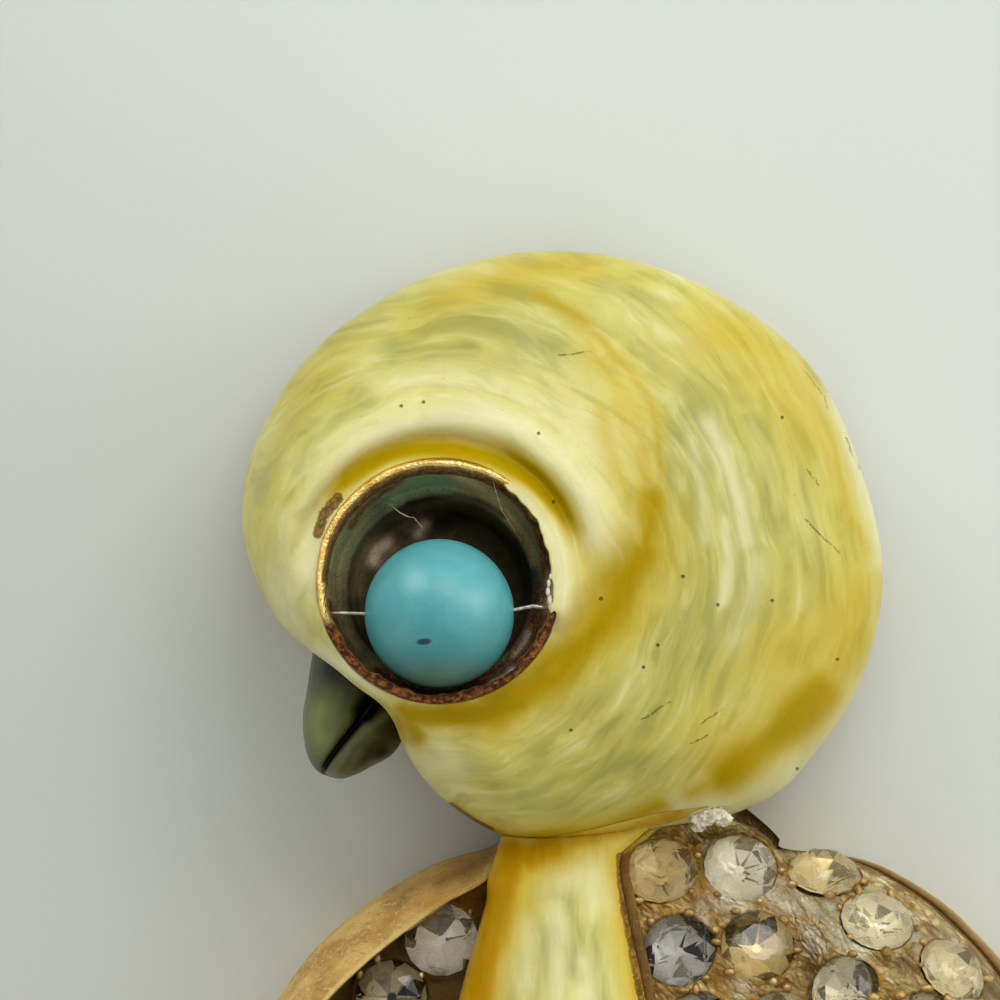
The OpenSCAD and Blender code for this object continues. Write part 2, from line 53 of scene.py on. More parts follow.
# Outline about the eye: angle, radius as a share of head_r
OUTLINE = [
    [-24, 1.385], [-15, 1.44], [0, 1.48], [15, 1.455], [30, 1.43], [45, 1.34], [60, 1.24],
    [75, 1.135], [90, 1.03], [105, 0.94], [120, 0.87], [135, 0.80], [150, 0.745], [165, 0.685],
    [180, 0.615], [195, 0.555], [208, 0.495], [220, 0.458], [232, 0.45], [244, 0.458],
    [252, 0.5], [258, 0.575], [264, 0.65], [272, 0.745], [285, 0.89], [300, 1.01], [312, 1.12],
    [320, 1.235], [328, 1.335], [336, 1.385], [345, 1.44], [360, 1.48], [375, 1.455],
]
# Spiral crease: angle, radius as a share of head_r, depth as a share of the deepest
CREASE = [
    [-130, 0.435, 0], [-105, 0.435, 0.35], [-86, 0.44, 0.75], [-63, 0.45, 0.9],
    [-43, 0.477, 0.95], [-28, 0.49, 1], [-13, 0.52, 1], [-1, 0.573, 1], [8, 0.64, 0.95],
    [18, 0.73, 0.85], [31, 0.833, 0.72], [44, 0.93, 0.56], [57, 0.99, 0.4], [70, 0.99, 0.2],
    [90, 0.985, 0],
]


def along(table, column, s):
    """Smooth run through one column of a table whose first column rises."""
    t = np.array(table, float)
    x, y = t[:, 0], t[:, column]
    rate = np.gradient(y, 1.0)
    rate[1:-1] = (y[2:] - y[:-2]) / (x[2:] - x[:-2])
    rate[0], rate[-1] = (y[1] - y[0]) / (x[1] - x[0]), (y[-1] - y[-2]) / (x[-1] - x[-2])
    s = np.asarray(s, float)
    i = np.clip(np.searchsorted(x, s, side="right") - 1, 0, len(x) - 2)
    w = x[i + 1] - x[i]
    u = np.clip((s - x[i]) / w, 0, 1)
    return (
        (2 * u**3 - 3 * u**2 + 1) * y[i] + (u**3 - 2 * u**2 + u) * w * rate[i]
        + (3 * u**2 - 2 * u**3) * y[i + 1] + (u**3 - u**2) * w * rate[i + 1]
    )


def bell(x, w):
    return np.exp(-((x / w) ** 2))


def ease(a, b, x):
    q = np.clip((x - a) / (b - a), 0, 1)
    return q * q * (3 - 2 * q)


def outline(a):
    return np.maximum(head_r * along(OUTLINE, 1, a), cup_r + seat_gap + eye_wall)


def turned(a):
    return np.where(a > 180, a - 360, a)


def brow_window(a):
    t = turned(a)
    return ease(-2, 25, t) * (1 - ease(160, 179, t))


def dome_exponent(edge_r):
    """Exponent of the dome's curve, which keeps it high out to the collar round the eye."""
    collar = np.minimum(collar_share * head_r / edge_r, 0.99)
    return np.maximum(dome_power, np.log(1 - 0.95**2) / np.log(collar))


def head_z(a, r):
    """Height of the dome with its crease, groove and brow ridge."""
    edge_r, q, t = outline(a), r / head_r, turned(a)
    dome = np.sqrt(np.maximum(1 - np.minimum(r / edge_r, 1) ** dome_exponent(edge_r), 0))
    lean = math.tan(tilt) * r * np.sin(np.radians(a)) * bell(q, 0.62)
    brow = brow_height * bell(q - 0.56, 0.075) - groove_depth * bell(q - 0.465, 0.035)
    off = q - along(CREASE, 1, t)
    cut = crease_depth * along(CREASE, 2, t) * np.where((t < -130) | (t > 90), 0, 1)
    cut = cut * bell(off, np.where(off < 0, 0.075, 0.14))
    return edge_z + (eye_z - edge_z - lean + brow * brow_window(a) - cut) * dome


def set_down(name, bm, smooth=True):
    """Ends a piece: its bmesh becomes an object of the scene."""
    for face in bm.faces:
        face.smooth = smooth
    mesh = bpy.data.meshes.new(name)
    bm.to_mesh(mesh)
    bm.free()
    piece = bpy.data.objects.new(name, mesh)
    bpy.context.scene.collection.objects.link(piece)
    return piece


def skin(name, points, marks):
    """A grid laid over rows of points in millimetres about the eye; the columns close in a ring."""
    rows, cols = points.shape[:2]
    bm = bmesh.new()
    bmesh.ops.create_grid(bm, x_segments=cols - 1, y_segments=rows - 1, size=1)
    draft = bpy.data.meshes.new("draft")
    bm.to_mesh(draft)
    corners = np.empty(rows * cols * 3)
    draft.vertices.foreach_get("co", corners)
    corners = corners.reshape(-1, 3)
    j = np.rint((corners[:, 0] + 1) / 2 * (cols - 1)).astype(int)
    i = np.rint((corners[:, 1] + 1) / 2 * (rows - 1)).astype(int)
    place = (points[i, j] - np.array([axis_x, middle_y, 0])) / 1000
    draft.vertices.foreach_set("co", place.ravel())
    for mark, values in marks.items():
        draft.attributes.new(mark, "FLOAT", "POINT").data.foreach_set("value", values[i, j])
    bm.clear()
    bm.from_mesh(draft)
    bpy.data.meshes.remove(draft)
    bmesh.ops.remove_doubles(bm, verts=bm.verts, dist=1e-7)
    bmesh.ops.recalc_face_normals(bm, faces=bm.faces)
    return set_down(name, bm)


class Socket:
    """A socket in a material's tree; sums and products of it add Math nodes."""

    def __init__(self, tree, out):
        self.tree, self.out = tree, out

    def node(self, kind, settings, inputs, out=0):
        """A node of any kind: its settings, then the values or links of its sockets."""
        made = self.tree.nodes.new(kind)
        for key, value in settings.items():
            setattr(made, key, value)
        for key, value in inputs.items():
            if isinstance(value, Socket):
                self.tree.links.new(value.out, made.inputs[key])
            else:
                made.inputs[key].default_value = value
        return Socket(self.tree, made.outputs[out])

    def sum(self, operation, a, b=0.0, c=0.0):
        return self.node("ShaderNodeMath", {"operation": operation}, {0: a, 1: b, 2: c})

    def __add__(self, other):
        return self.sum("ADD", self, other)

    def __radd__(self, other):
        return self.sum("ADD", other, self)

    def __sub__(self, other):
        return self.sum("SUBTRACT", self, other)

    def __rsub__(self, other):
        return self.sum("SUBTRACT", other, self)

    def __mul__(self, other):
        return self.sum("MULTIPLY", self, other)

    def __rmul__(self, other):
        return self.sum("MULTIPLY", other, self)

    def __truediv__(self, other):
        return self.sum("DIVIDE", self, other)

    def power(self, other):
        return self.sum("POWER", self, other)

    def clip(self):
        return self.node("ShaderNodeClamp", {}, {"Value": self})

    def between(self, low, high):
        """0 below low, 1 above high, smooth between."""
        return self.node(
            "ShaderNodeMapRange", {"interpolation_type": "SMOOTHSTEP"},
            {"Value": self, "From Min": low, "From Max": high},
        )

    def blend(self, a, b):
        """Colour a where this is 0 and b where it is 1."""
        return self.node("ShaderNodeMix", {"data_type": "RGBA"}, {0: self, 6: a, 7: b}, 2)

    def noise(self, scale, detail=3.0, rough=0.5, warp=0.0, out=0):
        look = {"Vector": self, "Scale": scale, "Detail": detail, "Roughness": rough, "Distortion": warp}
        return self.node("ShaderNodeTexNoise", {}, look, out)

    def cells(self, scale, out):
        return self.node("ShaderNodeTexVoronoi", {"feature": "F1"}, {"Vector": self, "Scale": scale}, out)

    def stretched(self, by):
        return self.node("ShaderNodeVectorMath", {"operation": "MULTIPLY"}, {0: self, 1: by})

    def axes(self):
        made = self.tree.nodes.new("ShaderNodeSeparateXYZ")
        self.tree.links.new(self.out, made.inputs[0])
        return [Socket(self.tree, o) for o in made.outputs]

    def vector(self, x, y, z):
        return self.node("ShaderNodeCombineXYZ", {}, {0: x, 1: y, 2: z})

    def mark(self, name):
        return self.node("ShaderNodeAttribute", {"attribute_name": name}, {}, 2)


def colour(r, g, b):
    """A colour given as it looks on a screen, 0 to 255."""
    def linear(c):
        return c / 12.92 if c <= 0.04045 else ((c + 0.055) / 1.055) ** 2.4
    return (linear(r / 255), linear(g / 255), linear(b / 255), 1.0)


def finish(name, **fixed):
    """A new material: its shader, and a socket with the place in millimetres about the eye."""
    material = bpy.data.materials.new(name)
    material.use_nodes = True
    tree = material.node_tree
    shader = tree.nodes["Principled BSDF"]
    for key, value in fixed.items():
        shader.inputs[key.replace("_", " ")].default_value = value
    coords = tree.nodes.new("ShaderNodeTexCoord")
    start = Socket(tree, coords.outputs["Object"])
    place = start.node(
        "ShaderNodeVectorMath", {"operation": "MULTIPLY_ADD"},
        {0: start, 1: (1000, 1000, 1000), 2: (axis_x, middle_y, 0)},
    )
    return material, shader, place


def feed(shader, key, value):
    value.tree.links.new(value.out, shader.inputs[key])


def bump(shader, height, deep):
    """Relief that is so many millimetres deep where the height is 1."""
    feed(shader, "Normal", height.node("ShaderNodeBump", {}, {"Height": height, "Distance": deep / 1000}))


# Places on the face are given on a grid with the eye at EYE_X, EYE_Y and STEPS to the millimetre
EYE_X, EYE_Y, STEPS = 440, 580, 37


def grid(points):
    return EYE_X + STEPS * points[..., 0], EYE_Y - STEPS * points[..., 1]


def on_face(gx, gy):
    """A place of the grid in millimetres about the eye."""
    return (gx - EYE_X) / STEPS, (EYE_Y - gy) / STEPS


# Strokes of golden, warm yellow, grey-green and whitish enamel, and where it is chipped: strength,
# width and line on the grid. Some grey-green strokes are painted shade, on the lower part, the left
# side and the right lobe; some whitish ones are painted highlights, on the brow, the top and along
# the right and lower right rim.
GOLD = [
    [1.0, 24, (640, 556), (622, 592), (600, 622), (572, 652), (538, 682), (500, 702)],
    [0.85, 16, (652, 500), (648, 530), (640, 556)], [0.5, 30, (652, 520), (640, 560), (612, 606)],
    [1.0, 13, (520, 702), (480, 712), (430, 714), (406, 712)],
    [0.95, 12, (404, 708), (408, 722), (416, 734)],
    [0.5, 12, (652, 505), (648, 474), (640, 450)],
    [0.55, 7, (655, 520), (659, 470), (656, 430), (648, 400), (627, 370), (596, 336), (572, 312), (536, 295)],
    [0.4, 14, (640, 430), (628, 400), (604, 372), (590, 350)],
    [0.6, 13, (650, 540), (644, 585), (626, 628)],
    [0.42, 8, (632, 520), (618, 480), (606, 440), (600, 412)],
    [0.36, 7, (645, 500), (634, 455), (620, 418), (612, 402)],
    [0.7, 14, (690, 792), (716, 778), (748, 756)],
    [1.0, 22, (722, 774), (748, 752), (782, 726), (820, 690)],
    [0.55, 28, (800, 730), (832, 680), (852, 640)],
    [0.5, 34, (795, 652), (830, 625), (860, 600)],
    [0.45, 22, (715, 338), (752, 340), (790, 360), (815, 392)],
    [0.3, 26, (742, 376), (782, 396), (800, 430)],
    [0.5, 9, (812, 398), (828, 432), (838, 470), (850, 520), (866, 552)],
    [0.42, 15, (440, 300), (490, 282), (540, 266), (585, 262)],
    [0.8, 6, (455, 806), (478, 822), (500, 832), (522, 840)],
    [0.8, 10, (515, 838), (550, 836), (590, 834), (622, 822), (660, 804)],
    [0.5, 9, (830, 700), (850, 668), (866, 628)],
    [0.3, 12, (300, 380), (335, 345), (380, 315)],
]
WARM = [
    [0.55, 22, (588, 440), (598, 500), (592, 560)], [0.5, 24, (690, 640), (660, 690), (620, 720)],
    [0.45, 24, (780, 340), (810, 390)], [0.5, 20, (480, 740), (500, 790)],
    [0.9, 16, (350, 462), (400, 436), (450, 430), (500, 440), (550, 478), (582, 530)],
    [0.75, 26, (585, 640), (592, 585), (586, 545)],
    [0.7, 40, (560, 765), (640, 745), (720, 700), (780, 640)],
    [0.6, 34, (430, 352), (500, 372), (570, 400)],
    [0.7, 24, (420, 312), (480, 292), (560, 268), (640, 272)],
    [0.6, 34, (680, 318), (740, 350), (800, 420), (850, 560)],
    [0.8, 22, (268, 540), (262, 490), (284, 430), (330, 380)],
    [0.7, 30, (860, 560), (850, 640), (800, 720)],
    [0.5, 20, (620, 470), (602, 420), (585, 380)],
    [0.5, 30, (470, 740), (520, 775), (590, 800)],
    [0.45, 22, (640, 620), (690, 590), (720, 540)],
    [0.6, 10, (540, 300), (580, 330), (610, 372), (622, 420), (618, 470)],
    [0.5, 12, (560, 330), (590, 380), (600, 430)],
]
# Grey-green strokes; those on the lower part, the left side and the right lobe are painted shade
GREY_AND_SHADE = [
    [0.6, 24, (640, 610), (680, 655), (650, 700)], [0.5, 18, (476, 756), (496, 778), (505, 806)],
    [0.55, 16, (288, 556), (296, 612), (322, 652)], [0.4, 22, (740, 440), (760, 480)],
    [0.35, 18, (488, 352), (520, 360)],
    [0.45, 20, (770, 600), (752, 650), (720, 690)],
    [0.8, 32, (712, 400), (700, 450), (706, 520), (700, 600), (690, 650)],
    [0.35, 18, (630, 310), (680, 330)],
    [0.65, 26, (748, 430), (752, 520), (735, 610), (700, 650)],
    [0.75, 9, (681, 412), (677, 440), (681, 468)],
    [0.6, 8, (764, 395), (768, 425), (760, 460)],
    [0.55, 22, (700, 660), (650, 710), (590, 740)],
    [0.45, 46, (700, 430), (712, 520), (700, 600), (650, 670)],
    [0.35, 40, (770, 420), (790, 520), (770, 600)],
    [0.4, 30, (440, 326), (520, 334), (580, 350)],
    [0.35, 34, (560, 800), (640, 790), (700, 760)],
    [0.9, 17, (442, 318), (490, 322), (530, 332), (560, 345)],
    [0.8, 12, (392, 352), (430, 356), (470, 350)],
    [0.95, 9, (500, 289), (545, 302), (578, 322), (602, 338)],
    [0.6, 12, (330, 338), (352, 328), (376, 322)],
    [0.55, 8, (345, 372), (305, 410), (282, 450), (266, 490)],
    [0.5, 7, (358, 402), (322, 432), (300, 470)],
    [0.75, 16, (672, 432), (668, 480), (664, 530), (655, 580)],
    [0.7, 13, (690, 404), (720, 392), (742, 402)],
    [0.8, 12, (744, 420), (762, 445), (764, 490), (752, 530)],
    [0.6, 10, (700, 440), (714, 480), (722, 530)],
    [0.7, 18, (665, 655), (692, 648), (712, 636)],
    [0.5, 16, (745, 650), (760, 628), (772, 600)],
    [0.6, 16, (545, 708), (590, 700), (632, 672), (668, 640)],
    [0.65, 20, (540, 750), (600, 765), (660, 765)],
    [0.6, 18, (520, 795), (590, 812), (650, 800)],
    [0.5, 12, (800, 540), (818, 570), (812, 600)],
    [0.55, 9, (600, 292), (640, 298), (672, 306)],
    [0.5, 10, (800, 470), (806, 520)],
    [0.5, 12, (610, 372), (590, 352), (560, 336)], [0.35, 14, (530, 300), (590, 304)],
    [0.4, 18, (672, 344), (716, 352), (746, 376)],
]
# Whitish strokes; those on the brow, the top and the right and lower right rim are painted highlights
PALE_AND_HIGHLIGHT = [
    [0.9, 15, (311, 570), (314, 528), (328, 486), (356, 452), (396, 430), (440, 421)],
    [0.85, 18, (440, 421), (490, 418), (530, 430), (562, 458), (583, 492), (594, 530)],
    [0.15, 13, (606, 306), (640, 322), (690, 350)],
    [0.65, 7, (708, 424), (724, 458), (738, 500), (744, 540)],
    [0.5, 5, (690, 440), (700, 490), (704, 540)],
    [0.5, 5, (722, 520), (728, 560), (722, 600)],
    [0.35, 8, (756, 560), (748, 600), (730, 640)],
    [0.95, 8, (830, 396), (848, 436), (862, 480), (875, 520), (882, 562)],
    [1.0, 15, (866, 694), (834, 738), (794, 775), (756, 798), (694, 812)],
    [1.0, 12, (800, 778), (760, 800)],
    [0.6, 16, (410, 738), (436, 752), (452, 768)], [0.8, 12, (684, 802), (716, 804), (744, 796)],
    [0.9, 11, (516, 486), (542, 516), (560, 556), (564, 600), (556, 634)],
    [0.8, 7, (318, 650), (352, 672), (396, 690), (432, 700)],
    [0.5, 14, (290, 620), (282, 570), (290, 520)], [0.15, 12, (262, 510), (260, 470), (272, 425)],
    [0.45, 26, (520, 398), (560, 420), (586, 452)],
    [0.5, 12, (380, 385), (440, 378), (500, 388)],
]
CHIP = [
    [1.0, 4.5, (319, 533), (326, 514), (339, 499)],
    [0.9, 3, (452, 806), (474, 820), (492, 830)],
]


def painted(points, table):
    """How strongly a table's strokes cover each point; their edges waver slightly."""
    gx, gy = grid(points)
    waver = 5 * np.sin(gx / 31 + gy / 47) + 4 * np.sin(gx / 17 - gy / 23 + 1) + 2.5 * np.sin(gy / 9 + gx / 13)
    best = np.zeros(gx.shape)
    for strength, wide, *line in table:
        near = np.full(gx.shape, 1e9)
        for (ax, ay), (bx, by) in zip(line[:-1], line[1:]):
            vx, vy = bx - ax, by - ay
            t = np.clip(((gx - ax) * vx + (gy - ay) * vy) / (vx * vx + vy * vy), 0, 1)
            near = np.minimum(near, np.hypot(gx - ax - t * vx, gy - ay - t * vy))
        share_out = np.maximum(near + waver * wide / 40, 0) / wide / 1.35
        best = np.maximum(best, strength * np.exp(-(share_out**1.6)))
    return best


angles = np.linspace(0, 360, 421)
all_round = np.ones_like(angles)
edge = outline(angles)
# At the right the enamel has run over the lip of the cup, with a ragged edge
lap = ease(-26, -12, turned(angles)) * (1 - ease(50, 66, turned(angles)))
ragged = (0.035 * np.sin(np.radians(angles * 7)) + 0.02 * np.sin(np.radians(angles * 19 + 40))
          + 0.012 * np.sin(np.radians(angles * 43)))
inner = cup_r + 0.01 - (0.25 + ragged) * lap


def head_top(a, r):
    """The dome, raised where it laps over the lip."""
    lip_top = eye_z - r * np.sin(np.radians(a)) * math.sin(tilt) + 0.14
    over = lap * (1 - ease(cup_r + 0.02, cup_r + 0.5, r))
    return head_z(a, r) + over * np.maximum(lip_top - head_z(a, r), 0)


# Sections of the head from the middle of the cup's seat up, over the dome and down to the back
axis_gap = 0.01
rows = [
    (axis_gap * all_round, seat_floor_z * all_round), (inner, seat_floor_z * all_round),
    (inner - 0.09 * (1 - lap), head_top(angles, inner) - 0.17),
    (inner - 0.04, head_top(angles, inner) - 0.05),
]
steps = np.concatenate([np.linspace(0, 0.9, 150), np.linspace(0.905, 0.985, 22), np.linspace(0.987, 1, 16)])
power = 1 + 1.1 * (edge / head_r - 0.45) / 1.03
for t in steps:
    r = inner + (edge - inner) * t**power
    rows.append((r, head_top(angles, r)))
side_starts = len(rows)
# Down the side and up the hollow of the back: inset from the edge, share of what is left, height
WALL = [
    (0.01, 1, 2.95), (0.03, 1, 2.6), (0.1, 1, 1.92), (0.22, 1, 1.1), (0.36, 1, 0.35), (0.42, 1, 0.1),
    (0.47, 1, 0.02), (0.52, 1, 0), (1.03, 0.92, 0), (1.08, 0.91, 0.12), (1.23, 0.84, 2.31),
    (1.6, 0.76, 3.15), (1.9, 0.7, 3.3),
]
for inset, share, z in WALL:
    rows.append(((edge - inset) * share, z * all_round))
rows.append((axis_gap * all_round, dish_z * all_round))
head_at = np.array([
    np.stack([r * np.cos(np.radians(angles)), r * np.sin(np.radians(angles)), z], -1) for r, z in rows
])
far = np.array([r for r, z in rows]) / head_r
turn = turned(np.broadcast_to(angles, far.shape))
front = (head_at[..., 2] > 0.3) & (np.arange(len(rows))[:, None] < side_starts + 5)
groove_at = np.interp(turn, [19, 31, 45, 60, 81, 108, 140], [0.471, 0.464, 0.452, 0.44, 0.432, 0.446, 0.455])
groove = bell(far - groove_at, 0.04) * ease(6, 34, turn) * (1 - ease(126, 165, turn))
groove = np.maximum(groove, bell(far - 0.475, 0.03) * ease(8, 30, turn) * (1 - ease(50, 80, turn)))
head = skin("head_enamel", head_at, {
    "gold": np.maximum(painted(head_at, GOLD), groove), "warm": painted(head_at, WARM),
    "grey_and_shade": painted(head_at, GREY_AND_SHADE), "pale_and_highlight": painted(head_at, PALE_AND_HIGHLIGHT) * (1 - groove),
    "chip": painted(head_at, CHIP) * ease(2.3, 3.1, head_at[..., 2]), "front": front * 1.0,
})

# Fine cracks in the enamel, by their two ends on the grid, and small dark pits
SCRATCHES = [
    (806, 372, 824, 396), (824, 396, 827, 408), (846, 438, 860, 468), (804, 520, 838, 552),
    (700, 722, 726, 704), (640, 716, 668, 700), (806, 470, 820, 492), (690, 742, 706, 734),
    (738, 300, 752, 316), (560, 356, 590, 352),
]
PITS = [
    (402, 407), (424, 403), (538, 434), (553, 502), (781, 418), (681, 576), (656, 644), (642, 666),
    (570, 728), (836, 659), (797, 769), (716, 604), (600, 598), (770, 600),
]


def enamel(name, swirl, golden, deep, amber):
    """Glossy enamel over cast metal. swirl tells how the streaks run: round the eye or down the chest."""
    material, shader, place = finish(name, Coat_Weight=0.02, Coat_Roughness=0.1, Specular_IOR_Level=0.07)
    x, y, z = place.axes()
    if swirl:
        r = (x * x + y * y).power(0.5) + 0.001
        drift = place.noise(0.22, 2) - 0.5
        flow = place.vector(x / r * 2.0, y / r * 2.0, r * 1.1 + drift * 3.0)
        fine = place.vector(x / r * 3.4, y / r * 3.4, r * 2.8 + drift * 4.0)
    else:
        flow = place.vector(x * 1.5, y * 0.3, z * 0.6)
        fine = place.vector(x * 3.5, y * 0.5, z * 1.0)
    broad = flow.noise(1.0, 4, 0.55, 0.6)
    thin = fine.noise(1.0, 3, 0.55, 0.5)
    cloud = place.noise(0.9, 3)
    body = broad.between(0.3, 0.7).blend(colour(204, 197, 102), colour(223, 219, 144))
    warm_part = (place.mark("warm") * (0.35 + 0.9 * broad)).clip()
    body = warm_part.blend(body, colour(206, 188, 66))
    veins = thin.between(0.44, 0.66) * cloud.between(0.36, 0.6)
    body = (veins * (0.6 if swirl else 0.35)).blend(body, colour(166, 158, 74))
    wisps = (1 - thin).between(0.52, 0.7) * (1 - cloud).between(0.4, 0.6)
    body = (wisps * (0.55 if swirl else 0.2)).blend(body, colour(232, 229, 172))
    # Grey-green enamel and painted shade, then whitish enamel and painted highlights, from the strokes
    grey_and_shade_part = (place.mark("grey_and_shade") * (0.55 + 0.8 * thin.between(0.25, 0.7))).clip()
    body = (grey_and_shade_part * 0.85).blend(body, colour(156, 153, 82))
    pale_and_highlight_part = (place.mark("pale_and_highlight") * (0.55 + 0.8 * broad)).clip()
    body = (pale_and_highlight_part * 0.95).blend(body, colour(234, 231, 186))
    gold_part = (place.mark("gold") * (0.8 + 0.4 * broad + 0.15 * thin)).clip()
    body = gold_part.blend(body, golden)
    body = (gold_part.between(0.4, 1.1) * (0.5 + 0.7 * thin)).clip().blend(body, deep)
    body = (gold_part.between(0.5, 1.0) * cloud.between(0.52, 0.66) * 0.5).blend(body, amber)
    grain = place.noise(9.0, 2).between(0.66, 0.74) * cloud.between(0.5, 0.62)
    body = (grain * 0.25).blend(body, colour(120, 110, 70))
    flaw = place.noise(7.0, 3, 0.6)
    chipped = (place.mark("chip") * (0.3 + 1.4 * flaw)).between(0.35, 0.6)
    body = (chipped * 0.9).blend(body, flaw.between(0.4, 0.6).blend(colour(74, 46, 16), colour(140, 98, 46)))
    height = 0.6 * broad + 0.25 * thin - 0.8 * chipped
    if swirl:
        dark = 0.0
        for pit_at in PITS:
            away = place.node(
                "ShaderNodeVectorMath", {"operation": "DISTANCE"},
                {0: place.vector(x, y, 0.0), 1: (*on_face(*pit_at), 0)}, 1,
            )
            pit = 1 - (away + 0.05 * (flaw - 0.5)).between(0.012, 0.062)
            dark = pit.sum("MAXIMUM", dark, pit)
        for start_x, start_y, end_x, end_y in SCRATCHES:
            (ax, ay), (bx, by) = on_face(start_x, start_y), on_face(end_x, end_y)
            dx, dy = bx - ax, by - ay
            share = (((x - ax) * dx + (y - ay) * dy) / (dx * dx + dy * dy)).clip()
            off_x = x - ax - share * dx + 0.25 * (flaw - 0.5)
            off_y = y - ay - share * dy + 0.25 * (cloud - 0.5)
            gap = (off_x * off_x + off_y * off_y).power(0.5)
            dark = dark.sum("MAXIMUM", dark, (1 - gap.between(0.008, 0.03)) * 0.55 * thin.between(0.3, 0.55))
        body = (dark * 0.75).blend(body, colour(70, 62, 36))
        height = height - 0.8 * dark
        # The metal shows bare at the back
        bare = 1 - place.mark("front").between(0.3, 0.7) * (z + 0.8 * cloud + 0.3 * flaw).between(1.5, 1.62)
        body = bare.blend(body, cloud.between(0.35, 0.65).blend(colour(196, 156, 88), colour(150, 112, 58)))
        body = (bare * flaw.between(0.55, 0.68) * 0.5).blend(body, colour(226, 192, 124))
        feed(shader, "Metallic", bare)
        height = height + 0.5 * bare * flaw
    feed(shader, "Base Color", body)
    feed(shader, "Roughness", 0.24 + 0.16 * broad)
    bump(shader, height, 0.09)
    return material


head_enamel = enamel("head_enamel", True, colour(198, 168, 6), colour(164, 138, 0), colour(194, 148, 8))
head.data.materials.append(head_enamel)
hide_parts("head")
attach(head, "root")

# Eye cup
# A turned cup of gilt metal pressed into the head: a thin bright lip, a flared wall that has gone
# grey-green and red-brown, a step, and a dark well under the bead.

bead_d, bead_drop, bead_sink, inner_lip_r = 4.0, 0.84, 0.35, 3.08


def in_eye(points):
    """From the cup's own frame, with its mouth along z, to millimetres about the eye."""
    x, y, z = points[..., 0], points[..., 1], points[..., 2]
    c, s = math.cos(-tilt), math.sin(-tilt)
    return np.stack([x, y * c - z * s, y * s + z * c + eye_z], -1)


# Turned section from the foot up the outside, over the lip and down the inside: radius, height
CUP = [
    [0.01, -3.35], [2.5, -3.35], [3.0, -1.3], [3.2, -0.4], [3.27, -0.12], [3.3, 0.0], [3.27, 0.08],
    [3.21, 0.11], [3.15, 0.08], [3.11, 0.0], [3.08, -0.14], [3.0, -0.5], [2.9, -0.95], [2.8, -1.35],
    [2.76, -1.45], [2.62, -1.52], [2.5, -1.56], [2.46, -1.64], [2.38, -2.2], [2.2, -2.7], [1.8, -3.0],
    [0.01, -3.05],
]
profile = np.array(CUP)
walk = np.concatenate([[0], np.cumsum(np.hypot(*np.diff(profile, axis=0).T))])
fine = np.sort(np.concatenate([walk, np.linspace(0, walk[-1], 110)]))
cup_r_at, cup_z_at = np.interp(fine, walk, profile[:, 0]), np.interp(fine, walk, profile[:, 1])
spin = np.radians(np.linspace(0, 360, 361))
wobble = 1 + 0.004 * np.sin(3 * spin) + 0.003 * np.sin(7 * spin + 1) + 0.0015 * np.sin(23 * spin)
at = turned(np.degrees(spin) % 360)
bright = ease(40, 80, at) * (1 - ease(168, 180, at)) + (1 - ease(-180, -165, at))
worn = ease(-172, -150, at) * (1 - ease(38, 62, at))
lumps = (0.05 + 0.03 * np.sin(9 * spin + 1) + 0.03 * np.sin(23 * spin) + 0.02 * np.sin(41 * spin + 2)) * worn
lumps = lumps + 0.07 * bright
ring = []
for r, z in zip(cup_r_at, cup_z_at):
    radius = (r - lumps * bell(r - inner_lip_r, 0.08) * (z > -0.5)) * wobble
    height = z + 0.03 * bright * (z > -0.05)
    ring.append(np.stack([radius * np.cos(spin), radius * np.sin(spin), height], -1))
lip_from, lip_to = walk[4], walk[9]
on_lip = ease(lip_from - 0.3, lip_from, fine) * (1 - ease(lip_to, lip_to + 0.16, fine))
inside = ease(lip_to + 0.02, lip_to + 0.2, fine)
well = ease(walk[14] - 0.1, walk[16] + 0.1, fine)
band = ease(walk[8] - 0.03, walk[8] + 0.03, fine) * (1 - ease(lip_to + 0.3, lip_to + 0.85, fine))
crust = ease(lip_from - 0.1, lip_from + 0.05, fine) * (1 - ease(lip_to + 0.35, lip_to + 0.9, fine))
wide = np.ones_like(spin)
cup_at = in_eye(np.array(ring))
